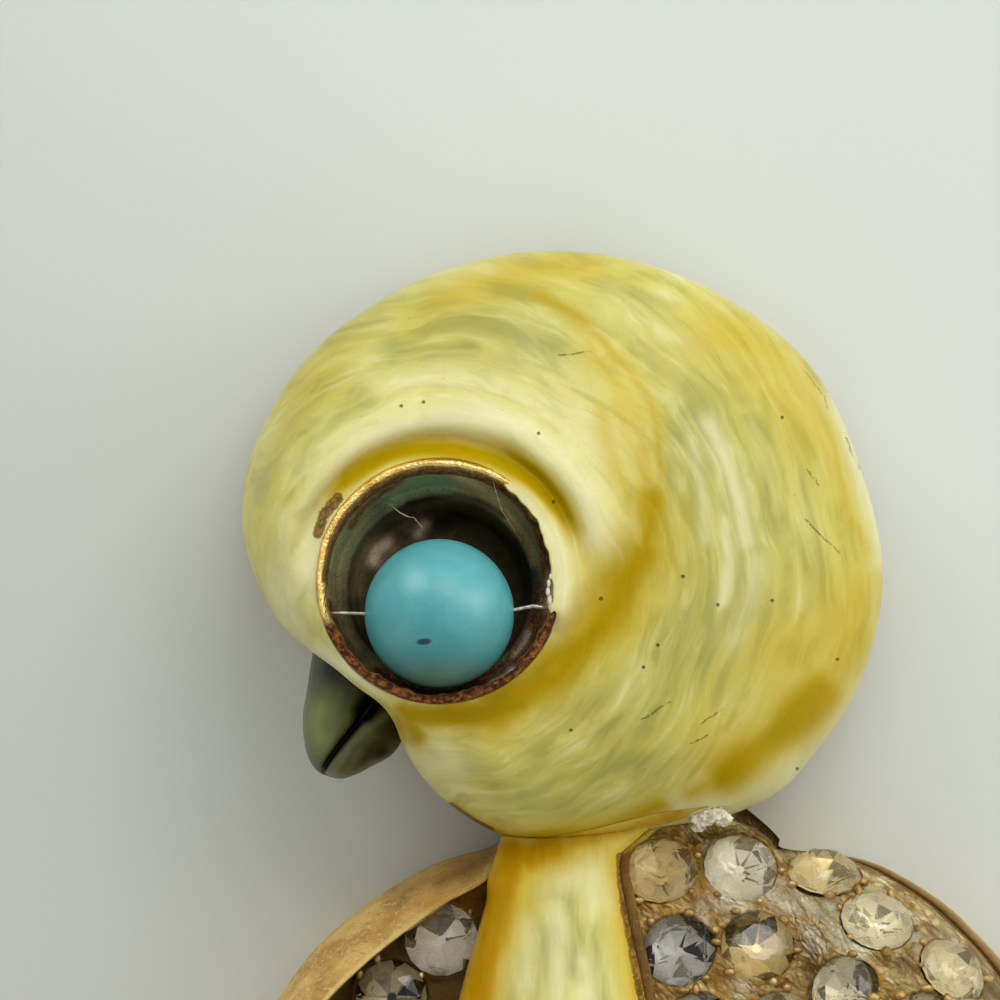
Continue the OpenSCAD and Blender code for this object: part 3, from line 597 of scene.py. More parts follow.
cup = skin("eye_cup_turned", cup_at, {
    "lip": np.outer(on_lip, wide), "inside": np.outer(inside, wide), "well": np.outer(well, wide),
    "rust": np.maximum(np.outer(crust, worn), painted(cup_at, [
        [1.0, 6, (556, 608), (552, 632), (544, 652), (530, 672), (512, 688), (490, 697), (460, 700),
         (430, 697), (402, 686), (380, 670)],
        [1.0, 10, (546, 598), (542, 622), (532, 644), (516, 664), (494, 680), (470, 688)],
        [0.7, 3, (330, 600), (342, 632), (362, 660)],
        [0.8, 4, (500, 487), (520, 503), (534, 523), (543, 548), (546, 572)],
    ])),
    "stain": np.maximum(
        np.outer(band, 0.95 * ease(42, 62, at) + 0.95 * (1 - ease(-186, -170, at))),
        painted(cup_at, [[0.6, 4, (352, 526), (364, 508), (384, 492), (402, 481)]]) * np.outer(inside, wide),
    ),
    # Painted shade in the cup: a dark ring under the step, and near black beside and over the bead
    "painted_shade": painted(cup_at, [
        [1.0, 2.2, (404, 468), (430, 463), (456, 463), (482, 468), (502, 477)],
        [1.0, 5, (492, 480), (510, 491), (527, 508), (541, 532), (548, 556), (550, 580)],
        [1.0, 17, (514, 545), (528, 570), (534, 598)],
        [0.95, 11, (430, 524), (456, 516), (490, 526), (512, 545)],
        [0.4, 6, (384, 520), (400, 508), (416, 504)],
        [0.55, 7, (346, 622), (343, 588), (356, 540), (384, 508)],
        [0.7, 8, (372, 566), (366, 600), (374, 640)],
        [0.9, 3, (408, 504), (430, 498), (456, 496), (482, 502), (504, 516)],
        [0.7, 4, (345, 590), (350, 612), (362, 636)], [0.8, 7, (530, 600), (528, 626), (514, 650)],
    ]),
    "green": painted(cup_at, [
        [1.0, 8, (388, 500), (408, 486), (432, 482), (452, 486)],
        [0.6, 8, (345, 556), (356, 532), (372, 510)],
        [0.6, 6, (500, 640), (506, 654)],
    ]),
    "tan": painted(cup_at, [
        [1.0, 6, (462, 478), (482, 488), (500, 502), (516, 524), (529, 548), (534, 566)],
        [0.3, 7, (340, 590), (346, 556), (362, 524)], [0.3, 8, (362, 590), (362, 566), (372, 548)],
    ]),
    # Pink marks: a hair on the lip, and painted glints of reflection on the wall and the crust
    "pink_hair_and_glint": painted(cup_at, [
        [1.0, 4, (374, 560), (378, 550), (388, 543)], [0.8, 3.5, (418, 533), (425, 525)],
        [0.8, 2, (489, 688), (493, 681), (500, 680), (507, 687), (511, 692)],
        [0.7, 2, (528, 632), (524, 642), (514, 654)], [0.5, 2.5, (548, 624), (543, 640)],
    ]),
    "chalk": painted(cup_at, [
        [0.9, 3, (512, 668), (506, 676), (497, 680)], [1.0, 4, (553, 578), (554, 590), (550, 604)],
    ]),
})
material, shader, place = finish("cup_gilt", Specular_IOR_Level=0.25)
speck = place.noise(2.4, 4, 0.6)
fleck = place.noise(14, 2, 0.6)
body = speck.between(0.4, 0.7).blend(colour(214, 170, 92), colour(150, 112, 58))
wall = speck.between(0.35, 0.65).blend(colour(122, 114, 74), colour(156, 144, 98))
# The well under the bead is painted darker, as shade
well_shade = speck.between(0.4, 0.6).blend(colour(70, 62, 36), colour(96, 80, 48))
wall = (place.mark("well") * 0.9).blend(wall, well_shade)
wall = (place.mark("green") * (0.7 + 0.6 * speck)).blend(wall, colour(132, 158, 112))
wall = (place.mark("tan") * (0.5 + 0.9 * speck)).blend(wall, colour(204, 186, 128))
wall = (fleck.between(0.56, 0.7) * 0.6).blend(wall, colour(84, 62, 36))
# Painted shade, near black
wall = (place.mark("painted_shade") * (0.6 + 0.8 * speck)).blend(wall, colour(22, 24, 14))
rust = (place.mark("rust") * (0.45 + 0.6 * speck + 0.5 * fleck)).between(0.3, 0.75)
crumbs = place.noise(6.0, 4, 0.65).between(0.42, 0.66).blend(colour(66, 32, 5), colour(158, 96, 40))
wall = (rust * 0.9).blend(wall, crumbs)
# Pink hair, and painted glints
wall = (place.mark("pink_hair_and_glint") * (0.5 + fleck)).clip().blend(wall, colour(236, 206, 178))
wall = (place.mark("chalk") * (0.5 + fleck)).clip().blend(wall, colour(226, 218, 186))
body = place.mark("inside").blend(body, wall)
on_lip = place.mark("lip") * (1 - place.mark("inside"))
body = on_lip.blend(body, speck.between(0.35, 0.7).blend(colour(255, 226, 146), colour(226, 178, 84)))
stain = (place.mark("stain") * (0.45 + 0.6 * speck + 0.4 * fleck)).between(0.25, 0.6)
body = rust.sum("MAXIMUM", rust * (1 - place.mark("inside")), stain * 0.85).blend(body, crumbs)
feed(shader, "Base Color", body)
feed(shader, "Metallic", ((1 - 0.97 * place.mark("inside")) * (1 - 0.8 * rust) * (1 - 0.8 * stain)).clip())
feed(shader, "Roughness", (0.2 + 0.25 * speck + 0.35 * place.mark("inside") + 0.2 * rust).clip())
bump(shader, 0.5 * speck + 0.5 * fleck + 0.8 * rust * fleck, 0.09)
cup.data.materials.append(material)
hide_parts("eye_cup")
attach(cup, "root")

# Eye bead
# A round bead of turquoise glass with a satin polish, drilled and strung on the wire across the
# cup, so that it hangs a little low. One small dark pit near its lower edge.

drill_r = 0.16


def to_metres(bm):
    """Moves a mesh from millimetres about the eye to its place on the brooch."""
    bmesh.ops.translate(bm, vec=(-axis_x, -middle_y, 0), verts=bm.verts)
    bmesh.ops.scale(bm, vec=(0.001, 0.001, 0.001), verts=bm.verts)


def out_of_cup(bm):
    """Moves a mesh from millimetres in the cup's frame to its place on the brooch."""
    for v in bm.verts:
        v.co = in_eye(np.array(v.co))
    to_metres(bm)


bm = bmesh.new()
bmesh.ops.create_uvsphere(bm, u_segments=96, v_segments=64, radius=bead_d / 2)
bmesh.ops.rotate(bm, verts=bm.verts, cent=(0, 0, 0), matrix=Matrix.Rotation(math.pi / 2, 3, "Y"))
for v in bm.verts:
    if math.hypot(v.co.y, v.co.z) < drill_r:
        v.co.x *= 0.965
bmesh.ops.translate(bm, vec=(0, -bead_drop, -bead_sink), verts=bm.verts)
out_of_cup(bm)
bead = set_down("eye_bead_turquoise", bm)
material, shader, place = finish("turquoise", Specular_IOR_Level=0.5)
x, y, z = place.axes()
vein = place.noise(1.1, 4, 0.55, 0.8)
dots = place.noise(11, 2)
body = vein.between(0.3, 0.75).blend(colour(79, 159, 164), colour(89, 171, 176))
body = (dots.between(0.62, 0.7) * 0.3).blend(body, colour(76, 150, 152))
# Two painted highlights on the upper side of the bead
for sx, sy, size in ((-0.65, 0.0, 0.62), (1.0, -0.54, 0.72)):
    gap = ((x - sx) * (x - sx) + (y - sy) * (y - sy)).power(0.5)
    body = ((1 - gap.between(0.0, size)) * z.between(8.6, 9.4) * 0.3).blend(body, colour(158, 220, 220))
# The lower side is painted darker teal as shade; the lowest part turns olive
painted_low_shade = (0.3 - y).between(0.3, 3.2)
body = (painted_low_shade * 0.7).blend(body, colour(40, 112, 112))
body = ((-1.8 - y).between(0.0, 0.95) * 0.6).blend(body, colour(92, 106, 70))
pit_x = (x + 0.405) / 0.19
pit_y = (y + 1.62 - 0.015 * pit_x) / 0.08
pit = 1 - (pit_x * pit_x + pit_y * pit_y).between(0.2, 1.7)
body = (pit * 0.92).blend(body, colour(10, 46, 52))
feed(shader, "Base Color", body)
feed(shader, "Roughness", 0.3 + 0.1 * vein)
bump(shader, 0.1 * vein + 0.06 * dots - 0.8 * pit, 0.05)
bead.data.materials.append(material)
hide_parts("eye_bead")
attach(bead, "root")

# Eye wire
# A fine drawn wire through the bead, laid in two notches of the lip and held at the right with a
# drop of old white cement. A few hairs have caught in the cup.


def rod(name, path, radii, sides=10):
    """A round rod along a path of millimetres in the cup's frame."""
    path = [Vector(p) for p in path]
    bm = bmesh.new()
    last = None
    for k, p in enumerate(path):
        ahead = (path[min(k + 1, len(path) - 1)] - path[max(k - 1, 0)]).normalized()
        made = bmesh.ops.create_circle(bm, cap_ends=False, segments=sides, radius=radii[k])
        turn_to = ahead.to_track_quat("Z", "Y").to_matrix().to_4x4()
        bmesh.ops.transform(bm, matrix=Matrix.Translation(p) @ turn_to, verts=made["verts"])
        loop = list({e for v in made["verts"] for e in v.link_edges})
        if last:
            bmesh.ops.bridge_loops(bm, edges=last + loop)
        last = loop
    bmesh.ops.holes_fill(bm, edges=bm.edges)
    bmesh.ops.recalc_face_normals(bm, faces=bm.faces)
    out_of_cup(bm)
    return set_down(name, bm)


line_y, line_z, reach = -bead_drop, -bead_sink, 3.12
wire = rod("eye_wire_drawn", [
    (-reach, line_y + 0.01, line_z), (-2.6, line_y + 0.02, line_z + 0.01), (-1.9, line_y, line_z),
    (1.9, line_y + 0.08, line_z), (2.5, line_y + 0.2, line_z + 0.05), (reach, line_y + 0.12, line_z + 0.1),
], [0.05, 0.05, 0.055, 0.055, 0.06, 0.07])
material, shader, place = finish("wire_bright", Metallic=0.8, Roughness=0.35)
haze = place.noise(6, 3)
feed(shader, "Base Color", haze.between(0.3, 0.7).blend(colour(214, 206, 190), colour(168, 158, 140)))
bump(shader, haze, 0.02)
wire.data.materials.append(material)
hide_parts("eye_wire")
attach(wire, "root")

# Lumps of the cement: place in the cup's frame and radius
CEMENT = [
    (2.98, -0.68, 0.02, 0.1), (2.95, -0.52, 0.05, 0.1), (2.9, -0.3, 0.08, 0.085), (2.92, -0.08, 0.1, 0.07),
    (2.97, 0.1, 0.12, 0.055), (-3.0, -0.86, -0.3, 0.07),
]
bm = bmesh.new()
for *lump_at, size in CEMENT:
    made = bmesh.ops.create_icosphere(bm, subdivisions=3, radius=size)
    bmesh.ops.scale(bm, vec=(0.7, 1.5, 0.7), verts=made["verts"])
    bmesh.ops.translate(bm, vec=lump_at, verts=made["verts"])
out_of_cup(bm)
cement = set_down("wire_cement", bm)
material, shader, place = finish("old_cement", Roughness=0.5)
lump = place.noise(8, 3)
feed(shader, "Base Color", lump.between(0.3, 0.7).blend(colour(222, 214, 186), colour(196, 184, 150)))
bump(shader, lump, 0.05)
cement.data.materials.append(material)
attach(cement, "root")

# A few hairs lie in the cup: places on the grid and the height over the cup's mouth
hair_matter, shader, place = finish("old_hair", Roughness=0.6)
hair_tone = place.noise(5, 2).between(0.3, 0.7)
feed(shader, "Base Color", hair_tone.blend(colour(178, 168, 130), colour(128, 116, 84)))
HAIRS = [
    [(390, 503, -0.55), (401, 512, -0.5), (409, 516, -0.5), (415, 517, -0.5)],
    [(414, 516, -0.6), (419, 522, -0.65), (424, 528, -0.7)],
    [(493, 480, -0.1), (497, 494, -0.3), (502, 510, -0.55), (521, 540, -0.85)],
]
for number, hair in enumerate(HAIRS):
    path = [(on_face(gx, gy)[0], on_face(gx, gy)[1] - z * math.sin(tilt), z) for gx, gy, z in hair]
    strand = rod("cup_hair_%d" % (number + 1), path, [0.01, 0.018, 0.018, 0.01][:len(path)], 6)
    strand.data.materials.append(hair_matter)
    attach(strand, "root")

# Beak
# A small closed bill cast with the head, in black-green enamel: two halves side by side with the
# mouth line sunk between them, painted lighter on their edges as highlights and painted shade at the root and
# the lower right side.

beak_edge_z, beak_root_y = 3.4, -0.19 * head_r
beak_rise, beak_drop, mouth_depth = 2.2, 1.5, 0.75
# From the root to the tip, in shares of head_r: along, left edge, mouth line, right edge; how full
BEAK = [
    [0.00, -0.418, -0.100, -0.085, 1.00], [0.10, -0.433, -0.140, -0.100, 1.00],
    [0.19, -0.447, -0.210, -0.110, 0.97], [0.27, -0.459, -0.262, -0.118, 0.90],
    [0.35, -0.454, -0.326, -0.130, 0.78], [0.40, -0.442, -0.363, -0.168, 0.66],
    [0.435, -0.423, -0.384, -0.232, 0.52], [0.458, -0.396, -0.385, -0.275, 0.34],
    [0.4735, -0.348, -0.345, -0.318, 0.08],
]
over, under = np.linspace(0, 180, 90), np.linspace(180, 360, 40)[1:-1]
round_beak = np.radians(np.concatenate([over, under]))
lobe = np.sin(round_beak)
on_top = (np.arange(len(lobe)) < len(over)) * 1.0
beak_rows, mouth_marks = [], []
for s in np.concatenate([np.linspace(0, 0.44, 70), np.linspace(0.443, 0.4735, 24)]):
    left_x, mouth_x, right_x, full = (float(along(BEAK, c, s)) for c in (1, 2, 3, 4))
    left_x, mouth_x, right_x = left_x * head_r, mouth_x * head_r, right_x * head_r
    mouth_x = min(max(mouth_x, left_x + 0.02), right_x - 0.02)
    xs = (left_x + right_x) / 2 - (right_x - left_x) / 2 * np.cos(round_beak)
    z = beak_edge_z + np.where(lobe > 0, beak_rise, beak_drop) * full * lobe
    mouth_w = (0.13 + 0.26 * float(1 - ease(0.2, 0.3, s))) * full + 0.02
    cut = bell(xs - mouth_x, mouth_w) * on_top * mouth_depth * full
    z = z - cut * np.clip(np.abs(lobe) * 3, 0, 1)
    beak_rows.append(np.stack([xs, np.full_like(xs, beak_root_y - s * head_r), z], -1))
    mouth_marks.append(bell(xs - mouth_x, mouth_w * 0.9) * on_top)


def ring_closed(rows):
    """Repeats the first column of a grid after its last."""
    return np.concatenate([rows, rows[:, :1]], 1)


def capped(rows):
    """Closes a row of sections at both ends with the middle of the end section."""
    first, last = (np.broadcast_to(rows[k].mean(0), rows[k].shape) for k in (0, -1))
    return np.concatenate([first[None], rows, last[None]])


def capped_mark(rows):
    """The marks of the sections, carried on over the caps."""
    return np.pad(np.array(rows, float), ((1, 1), (0, 0)), mode="edge")


beak_at = capped(ring_closed(np.array(beak_rows)))
mouth = capped_mark(ring_closed(np.array(mouth_marks)))
beak = skin("beak_enamel", beak_at, {
    "mouth": np.maximum(mouth, painted(beak_at, [[1.0, 10, (392, 694), (378, 697), (366, 712)]])),
    # Painted highlights on the upper half's blade and along the lower half's ridge
    "blade_highlight": painted(beak_at, [
        [1.0, 12, (320, 708), (317, 724), (322, 740)], [0.5, 10, (326, 690), (330, 704)],
    ]),
    "ridge": painted(beak_at, [
        [1.0, 3.2, (394, 710), (377, 721), (363, 732), (353, 743), (344, 756), (336, 768), (330, 775)],
        [0.5, 4, (360, 752), (350, 768)],
    ]),
    "shade": painted(beak_at, [
        [1.0, 14, (318, 664), (345, 676), (375, 688), (400, 700)],
        [0.9, 12, (404, 728), (398, 745), (384, 752)],
        [0.8, 5, (372, 748), (362, 764)],
    ]),
})
material, shader, place = finish(
    "beak_enamel", Coat_Weight=0.06, Coat_Roughness=0.12, Specular_IOR_Level=0.22
)
cloud = place.noise(0.9, 3, 0.5, 0.5)
body = cloud.between(0.35, 0.65).blend(colour(58, 60, 24), colour(72, 78, 36))
# Painted highlights on the blade and the ridge, then painted shade, then the black mouth line
body = (place.mark("blade_highlight") * (0.6 + 0.6 * cloud)).clip().blend(body, colour(128, 136, 84))
body = (place.mark("ridge") * 0.75).blend(body, colour(112, 118, 84))
body = (place.mark("shade") * 0.9).blend(body, colour(24, 24, 14))
body = place.mark("mouth").between(0.2, 0.7).blend(body, colour(5, 7, 5))
feed(shader, "Base Color", body)
feed(shader, "Roughness", 0.22 + 0.2 * cloud)
bump(shader, cloud, 0.08)
beak.data.materials.append(material)
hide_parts("beak")
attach(beak, "root")

# Body casting
# One gilt casting, hollow at the back: a grained shell and a bright lip at the left, a dark recess
# behind it, and a flank and a wing at the right with a raised collar round the seat of each stone.

body_w, body_h, body_t = 22.6, 21.8, 7.8
body_edge_z, recess_depth, border_w, field_sink = 2.2, 1.9, 0.32, 0.4
neck_y = -0.733 * head_r
# Shares of the crown's height at the left lip, the flank beside the chest, the valley and the wing
lip_share, flank_share, valley_share, wing_share = 0.8, 0.87, 0.81, 0.9
# Sections from neck to tail. Shares of body_h along it; shares of half body_w across: left edge, lip,
# chest's left and right side, valley, right edge; then the crown as a share of body_t and the
# fullness of the right wing
BODY = [
    [0.000, -0.310, -0.305, -0.300, 0.030, 0.100, 0.210, 0.58, 0.00],
    [0.030, -0.335, -0.330, -0.325, 0.007, 0.222, 0.282, 0.60, 0.00],
    [0.050, -0.346, -0.341, -0.336, -0.030, 0.290, 0.320, 0.62, 0.00],
    [0.063, -0.387, -0.352, -0.346, -0.060, 0.310, 0.334, 0.64, 0.05],
    [0.070, -0.437, -0.358, -0.350, -0.065, 0.325, 0.460, 0.65, 0.25],
    [0.080, -0.500, -0.366, -0.356, -0.068, 0.330, 0.544, 0.67, 0.45],
    [0.100, -0.575, -0.385, -0.370, -0.064, 0.327, 0.625, 0.71, 0.65],
    [0.130, -0.668, -0.490, -0.386, -0.053, 0.335, 0.714, 0.76, 0.82],
    [0.165, -0.750, -0.585, -0.405, -0.040, 0.355, 0.788, 0.81, 0.92],
    [0.200, -0.816, -0.670, -0.425, -0.024, 0.386, 0.850, 0.85, 0.97],
    [0.250, -0.885, -0.768, -0.450, -0.005, 0.418, 0.916, 0.90, 1.00],
    [0.310, -0.948, -0.830, -0.470, 0.024, 0.450, 0.964, 0.95, 1.00],
    [0.385, -0.990, -0.862, -0.480, 0.050, 0.473, 0.993, 0.99, 1.00],
    [0.460, -1.000, -0.869, -0.477, 0.067, 0.482, 1.000, 1.00, 1.00],
    [0.545, -0.980, -0.845, -0.458, 0.075, 0.480, 0.980, 0.98, 1.00],
    [0.635, -0.928, -0.790, -0.420, 0.072, 0.455, 0.928, 0.93, 1.00],
    [0.720, -0.835, -0.702, -0.370, 0.062, 0.400, 0.842, 0.85, 1.00],
    [0.795, -0.735, -0.600, -0.310, 0.050, 0.330, 0.750, 0.76, 1.00],
    [0.855, -0.628, -0.500, -0.250, 0.042, 0.270, 0.645, 0.68, 1.00],
    [0.905, -0.520, -0.400, -0.190, 0.034, 0.210, 0.540, 0.60, 1.00],
    [0.945, -0.400, -0.290, -0.135, 0.028, 0.155, 0.420, 0.53, 0.90],
    [0.975, -0.270, -0.180, -0.085, 0.020, 0.100, 0.290, 0.47, 0.60],
    [0.990, -0.170, -0.090, -0.045, 0.014, 0.060, 0.185, 0.44, 0.20],
    [0.997, -0.090, -0.045, -0.022, 0.007, 0.030, 0.100, 0.42, 0.05],
]


def across(c, s):
    return axis_x + body_w / 2 * along(BODY, c, s)


def crown(s):
    return body_t * along(BODY, 7, s)


def recess_z(s):
    return lip_share * crown(s) - recess_depth * np.sin(np.pi * np.clip(s, 0.01, 0.99)) ** 0.6


def mixed(a, b, u):
    return a + (b - a) * u


def border(s):
    return np.minimum(border_w, 0.2 * (across(5, s) - across(4, s)))


def right_rim_x(s):
    return across(6, s) - np.minimum(0.4, 0.2 * (across(6, s) - across(5, s)))


def on_body(x, s, u, z):
    return np.stack([x, neck_y - body_h * s + 0 * u, z], -1)


def left_bed(s, u):
    a, b = across(2, s), across(3, s)
    return on_body(mixed(a + np.minimum(0.1, 0.3 * (b - a)), b, u), s, u, recess_z(s) + 0 * u)


def valley_z(s):
    return valley_share * crown(s) - 0.2


def flank_bed(s, u):
    z = mixed(flank_share * crown(s) - field_sink, valley_z(s), u) + 0.05 * crown(s) * np.sin(np.pi * u)
    return on_body(mixed(across(4, s) + border(s), across(5, s), u), s, u, z)


def wing_edge_z(s):
    return body_edge_z + 0.5 * along(BODY, 8, s)


def wing_bed(s, u):
    low, ridge = wing_edge_z(s), 0.28
    top = mixed(low, wing_share * crown(s), along(BODY, 8, s))
    valley = np.minimum(valley_z(s), top + 0.6)
    rise = mixed(valley, top, np.sin(np.pi / 2 * np.clip(u / ridge, 0, 1)))
    fall = mixed(low, top, np.sqrt(np.maximum(1 - (np.maximum(u - ridge, 0) / (1 - ridge)) ** 2, 0)))
    return on_body(mixed(across(5, s), right_rim_x(s), u), s, u, np.where(u < ridge, rise, fall))


stone_h, seat_depth, pitch = 0.95, 0.54, 0.0963
# Columns of stones: first and last place along the body, place across at its ends and its middle
COLUMNS = [
    (left_bed, [[0.174, 0.18, 0.57, 0.57], [0.244, 0.25, 0.46, 0.46], [0.334, 0.72, 0.22, 0.23],
                [0.330, 0.72, 0.79, 0.78], [0.815, 0.90, 0.50, 0.50]]),
    (flank_bed, [[0.089, 0.68, 0.19, 0.22], [0.085, 0.68, 0.71, 0.71], [0.765, 0.87, 0.50, 0.50]]),
    (wing_bed, [[0.094, 0.10, 0.40, 0.40], [0.151, 0.16, 0.53, 0.53], [0.234, 0.67, 0.14, 0.12],
                [0.212, 0.62, 0.68, 0.80], [0.278, 0.60, 0.50, 0.46], [0.660, 0.67, 0.52, 0.52],
                [0.720, 0.73, 0.82, 0.82], [0.748, 0.75, 0.38, 0.38], [0.825, 0.83, 0.66, 0.66],
                [0.862, 0.87, 0.28, 0.28]]),
]
seats = []
for bed, columns in COLUMNS:
    for first, last, at_ends, at_middle in columns:
        s = first
        while s <= last + 1e-9:
            u = at_ends + (at_middle - at_ends) * math.sin(math.pi * s)
            p, px, py = (bed(np.float64(a), np.float64(b)) for a, b in ((s, u), (s, u + 0.01), (s - 0.01, u)))
            x_way = (px - p) / np.linalg.norm(px - p)
            up = np.cross(x_way, py - p)
            up /= np.linalg.norm(up)
            seats.append((bed, p, x_way, np.cross(up, x_way), up))
            s += pitch
middles = np.array([p for bed, p, x_way, y_way, up in seats])
apart = np.linalg.norm(middles[:, None] - middles[None], axis=2) + 9 * np.eye(len(seats))
stone_r = np.minimum(1.0, apart.min(axis=1) / 2 - 0.015)


# Wall round a seat: its height, its middle and width in shares of the stone's radius; the seat's sink
collar_rise, collar_at, collar_w, seat_sink = 0.13, 1.05, 0.07, 0.45


def seat_relief(points):
    """The surface with a seat sunk for each stone and a thin wall raised round it; how near a seat is."""
    near, shift = np.full(points.shape[:-1], 9.0), np.zeros_like(points)
    for (bed, p, x_way, y_way, up), r in zip(seats, stone_r):
        d = points - p
        h = d @ up
        away = np.sqrt(np.maximum((d * d).sum(-1) - h * h, 0)) / r
        closer = (np.abs(h) < 1.0) & (away < near) & (away < 1.8)
        near = np.where(closer, away, near)
        move = collar_rise * bell(away - collar_at, collar_w) - seat_sink * (1 - ease(0.8, 1.0, away))
        shift = np.where(closer[..., None], move[..., None] * up, shift)
    return points + shift, near


def clear_of_head(points, gap=0.01):
    """Keeps points outside the head: below its edge outside the wall, above it outside the dome."""
    x, y, z = points[..., 0], points[..., 1], points[..., 2]
    r, edge_r = np.hypot(x, y), outline(np.degrees(np.arctan2(y, x)) % 360)
    rise = np.clip((z - edge_z) / (eye_z - edge_z + 0.1), 0, 0.99)
    need = edge_r * (1 - rise**2) ** (1 / dome_exponent(edge_r)) + gap
    k = np.where(r < need, need / np.maximum(r, 1e-6), 1)
    return np.stack([x * k, y * k, z], -1)


# Parts of a section, from the left foot over the front and round the back
SHELL, LIP, RECESS, BORDER, FLANK, WING, RIM, BACK = range(8)
# Outer wall: share of the foot's inset, share of the widest edge's height
FOOT = [(1, 0), (0.6, 0.25), (0.3, 0.5), (0.08, 0.75)]
# Border beside the chest and rim of the wing: share across, height over its middle line
BORDER_ROLL = [(0.04, -0.06), (0.12, 0), (0.5, 0.03), (0.88, 0), (0.97, -0.06)]
RIM_ROLL = [(0.1, 0.16), (0.22, 0.28), (0.45, 0.32), (0.68, 0.26), (0.85, 0.05)]
body_s = np.concatenate([
    np.linspace(0.0, 0.36, 190), np.linspace(0.365, 0.95, 118), np.linspace(0.954, 0.997, 18),
])
sections, parts = [], []
for s in body_s:
    left_x, right_x, lip_x, border_x = across(1, s), across(6, s), across(2, s), across(4, s)
    half = (right_x - left_x) / 2
    foot = min(foot_inset, half * 0.3)
    rim = min(foot + rim_w, half * 0.6)
    wall = min(rim + 0.7, half * 0.8)
    dish = dish_z * float(ease(0.225, 0.24, s) * (1 - ease(0.66, 0.675, s)))
    lip_z, floor_z, flank_z, rim_z = lip_share * crown(s), recess_z(s), flank_share * crown(s), wing_edge_z(s)
    line = [(left_x + foot * share, body_edge_z * level, SHELL) for share, level in FOOT]
    for u in np.linspace(0, 1, 30):
        over, up = (1 - math.cos(math.pi / 2 * u)) * 0.96, math.sin(math.pi / 2 * u)
        line.append((mixed(left_x, lip_x, over), mixed(body_edge_z, lip_z, up), LIP if u > 0.95 else SHELL))
    left = left_bed(s, np.linspace(0, 1, 48))
    line += [
        (mixed(left_x, lip_x, 0.985), lip_z + 0.01, LIP), (lip_x, lip_z - 0.03, LIP),
        (mixed(lip_x, left[0][0], 0.3), lip_z - 0.12, LIP),
        (mixed(lip_x, left[0][0], 0.6), mixed(lip_z, floor_z, 0.5), RECESS),
        (mixed(lip_x, left[0][0], 0.85), mixed(lip_z, floor_z, 0.92), RECESS),
    ]
    line += [(p[0], p[2], RECESS) for p in left] + [(border_x, floor_z, RECESS)]
    line += [(border_x + share * border(s), flank_z + rise, BORDER) for share, rise in BORDER_ROLL]
    line += [(p[0], p[2], FLANK) for p in flank_bed(s, np.linspace(0, 1, 62))]
    line += [(p[0], p[2], WING) for p in wing_bed(s, np.linspace(0.01, 0.985, 74))]
    for share, rise in RIM_ROLL:
        line.append((mixed(right_rim_x(s), right_x, share), rim_z + rise * along(BODY, 8, s), RIM))
    line += [(right_x - 0.01, body_edge_z + 0.15, SHELL), (right_x, body_edge_z, SHELL)]
    line += [(right_x - foot * share, body_edge_z * level, SHELL) for share, level in reversed(FOOT)]
    line += [(right_x - rim, 0, BACK), (right_x - wall, dish, BACK), (left_x + wall, dish, BACK)]
    line += [(left_x + rim, 0, BACK), line[0]]
    sections.append([(x, neck_y - body_h * s, z) for x, z, part in line])
    parts.append([part for x, z, part in line])
body_at, part = np.array(sections), np.array(parts)
shelf = (part == RECESS) | (part == FLANK) | (part == WING)
relief, near = seat_relief(body_at)
body_at = capped(clear_of_head(np.where(shelf[..., None], relief, body_at)))
body_at[-1, :, 1] = neck_y - body_h
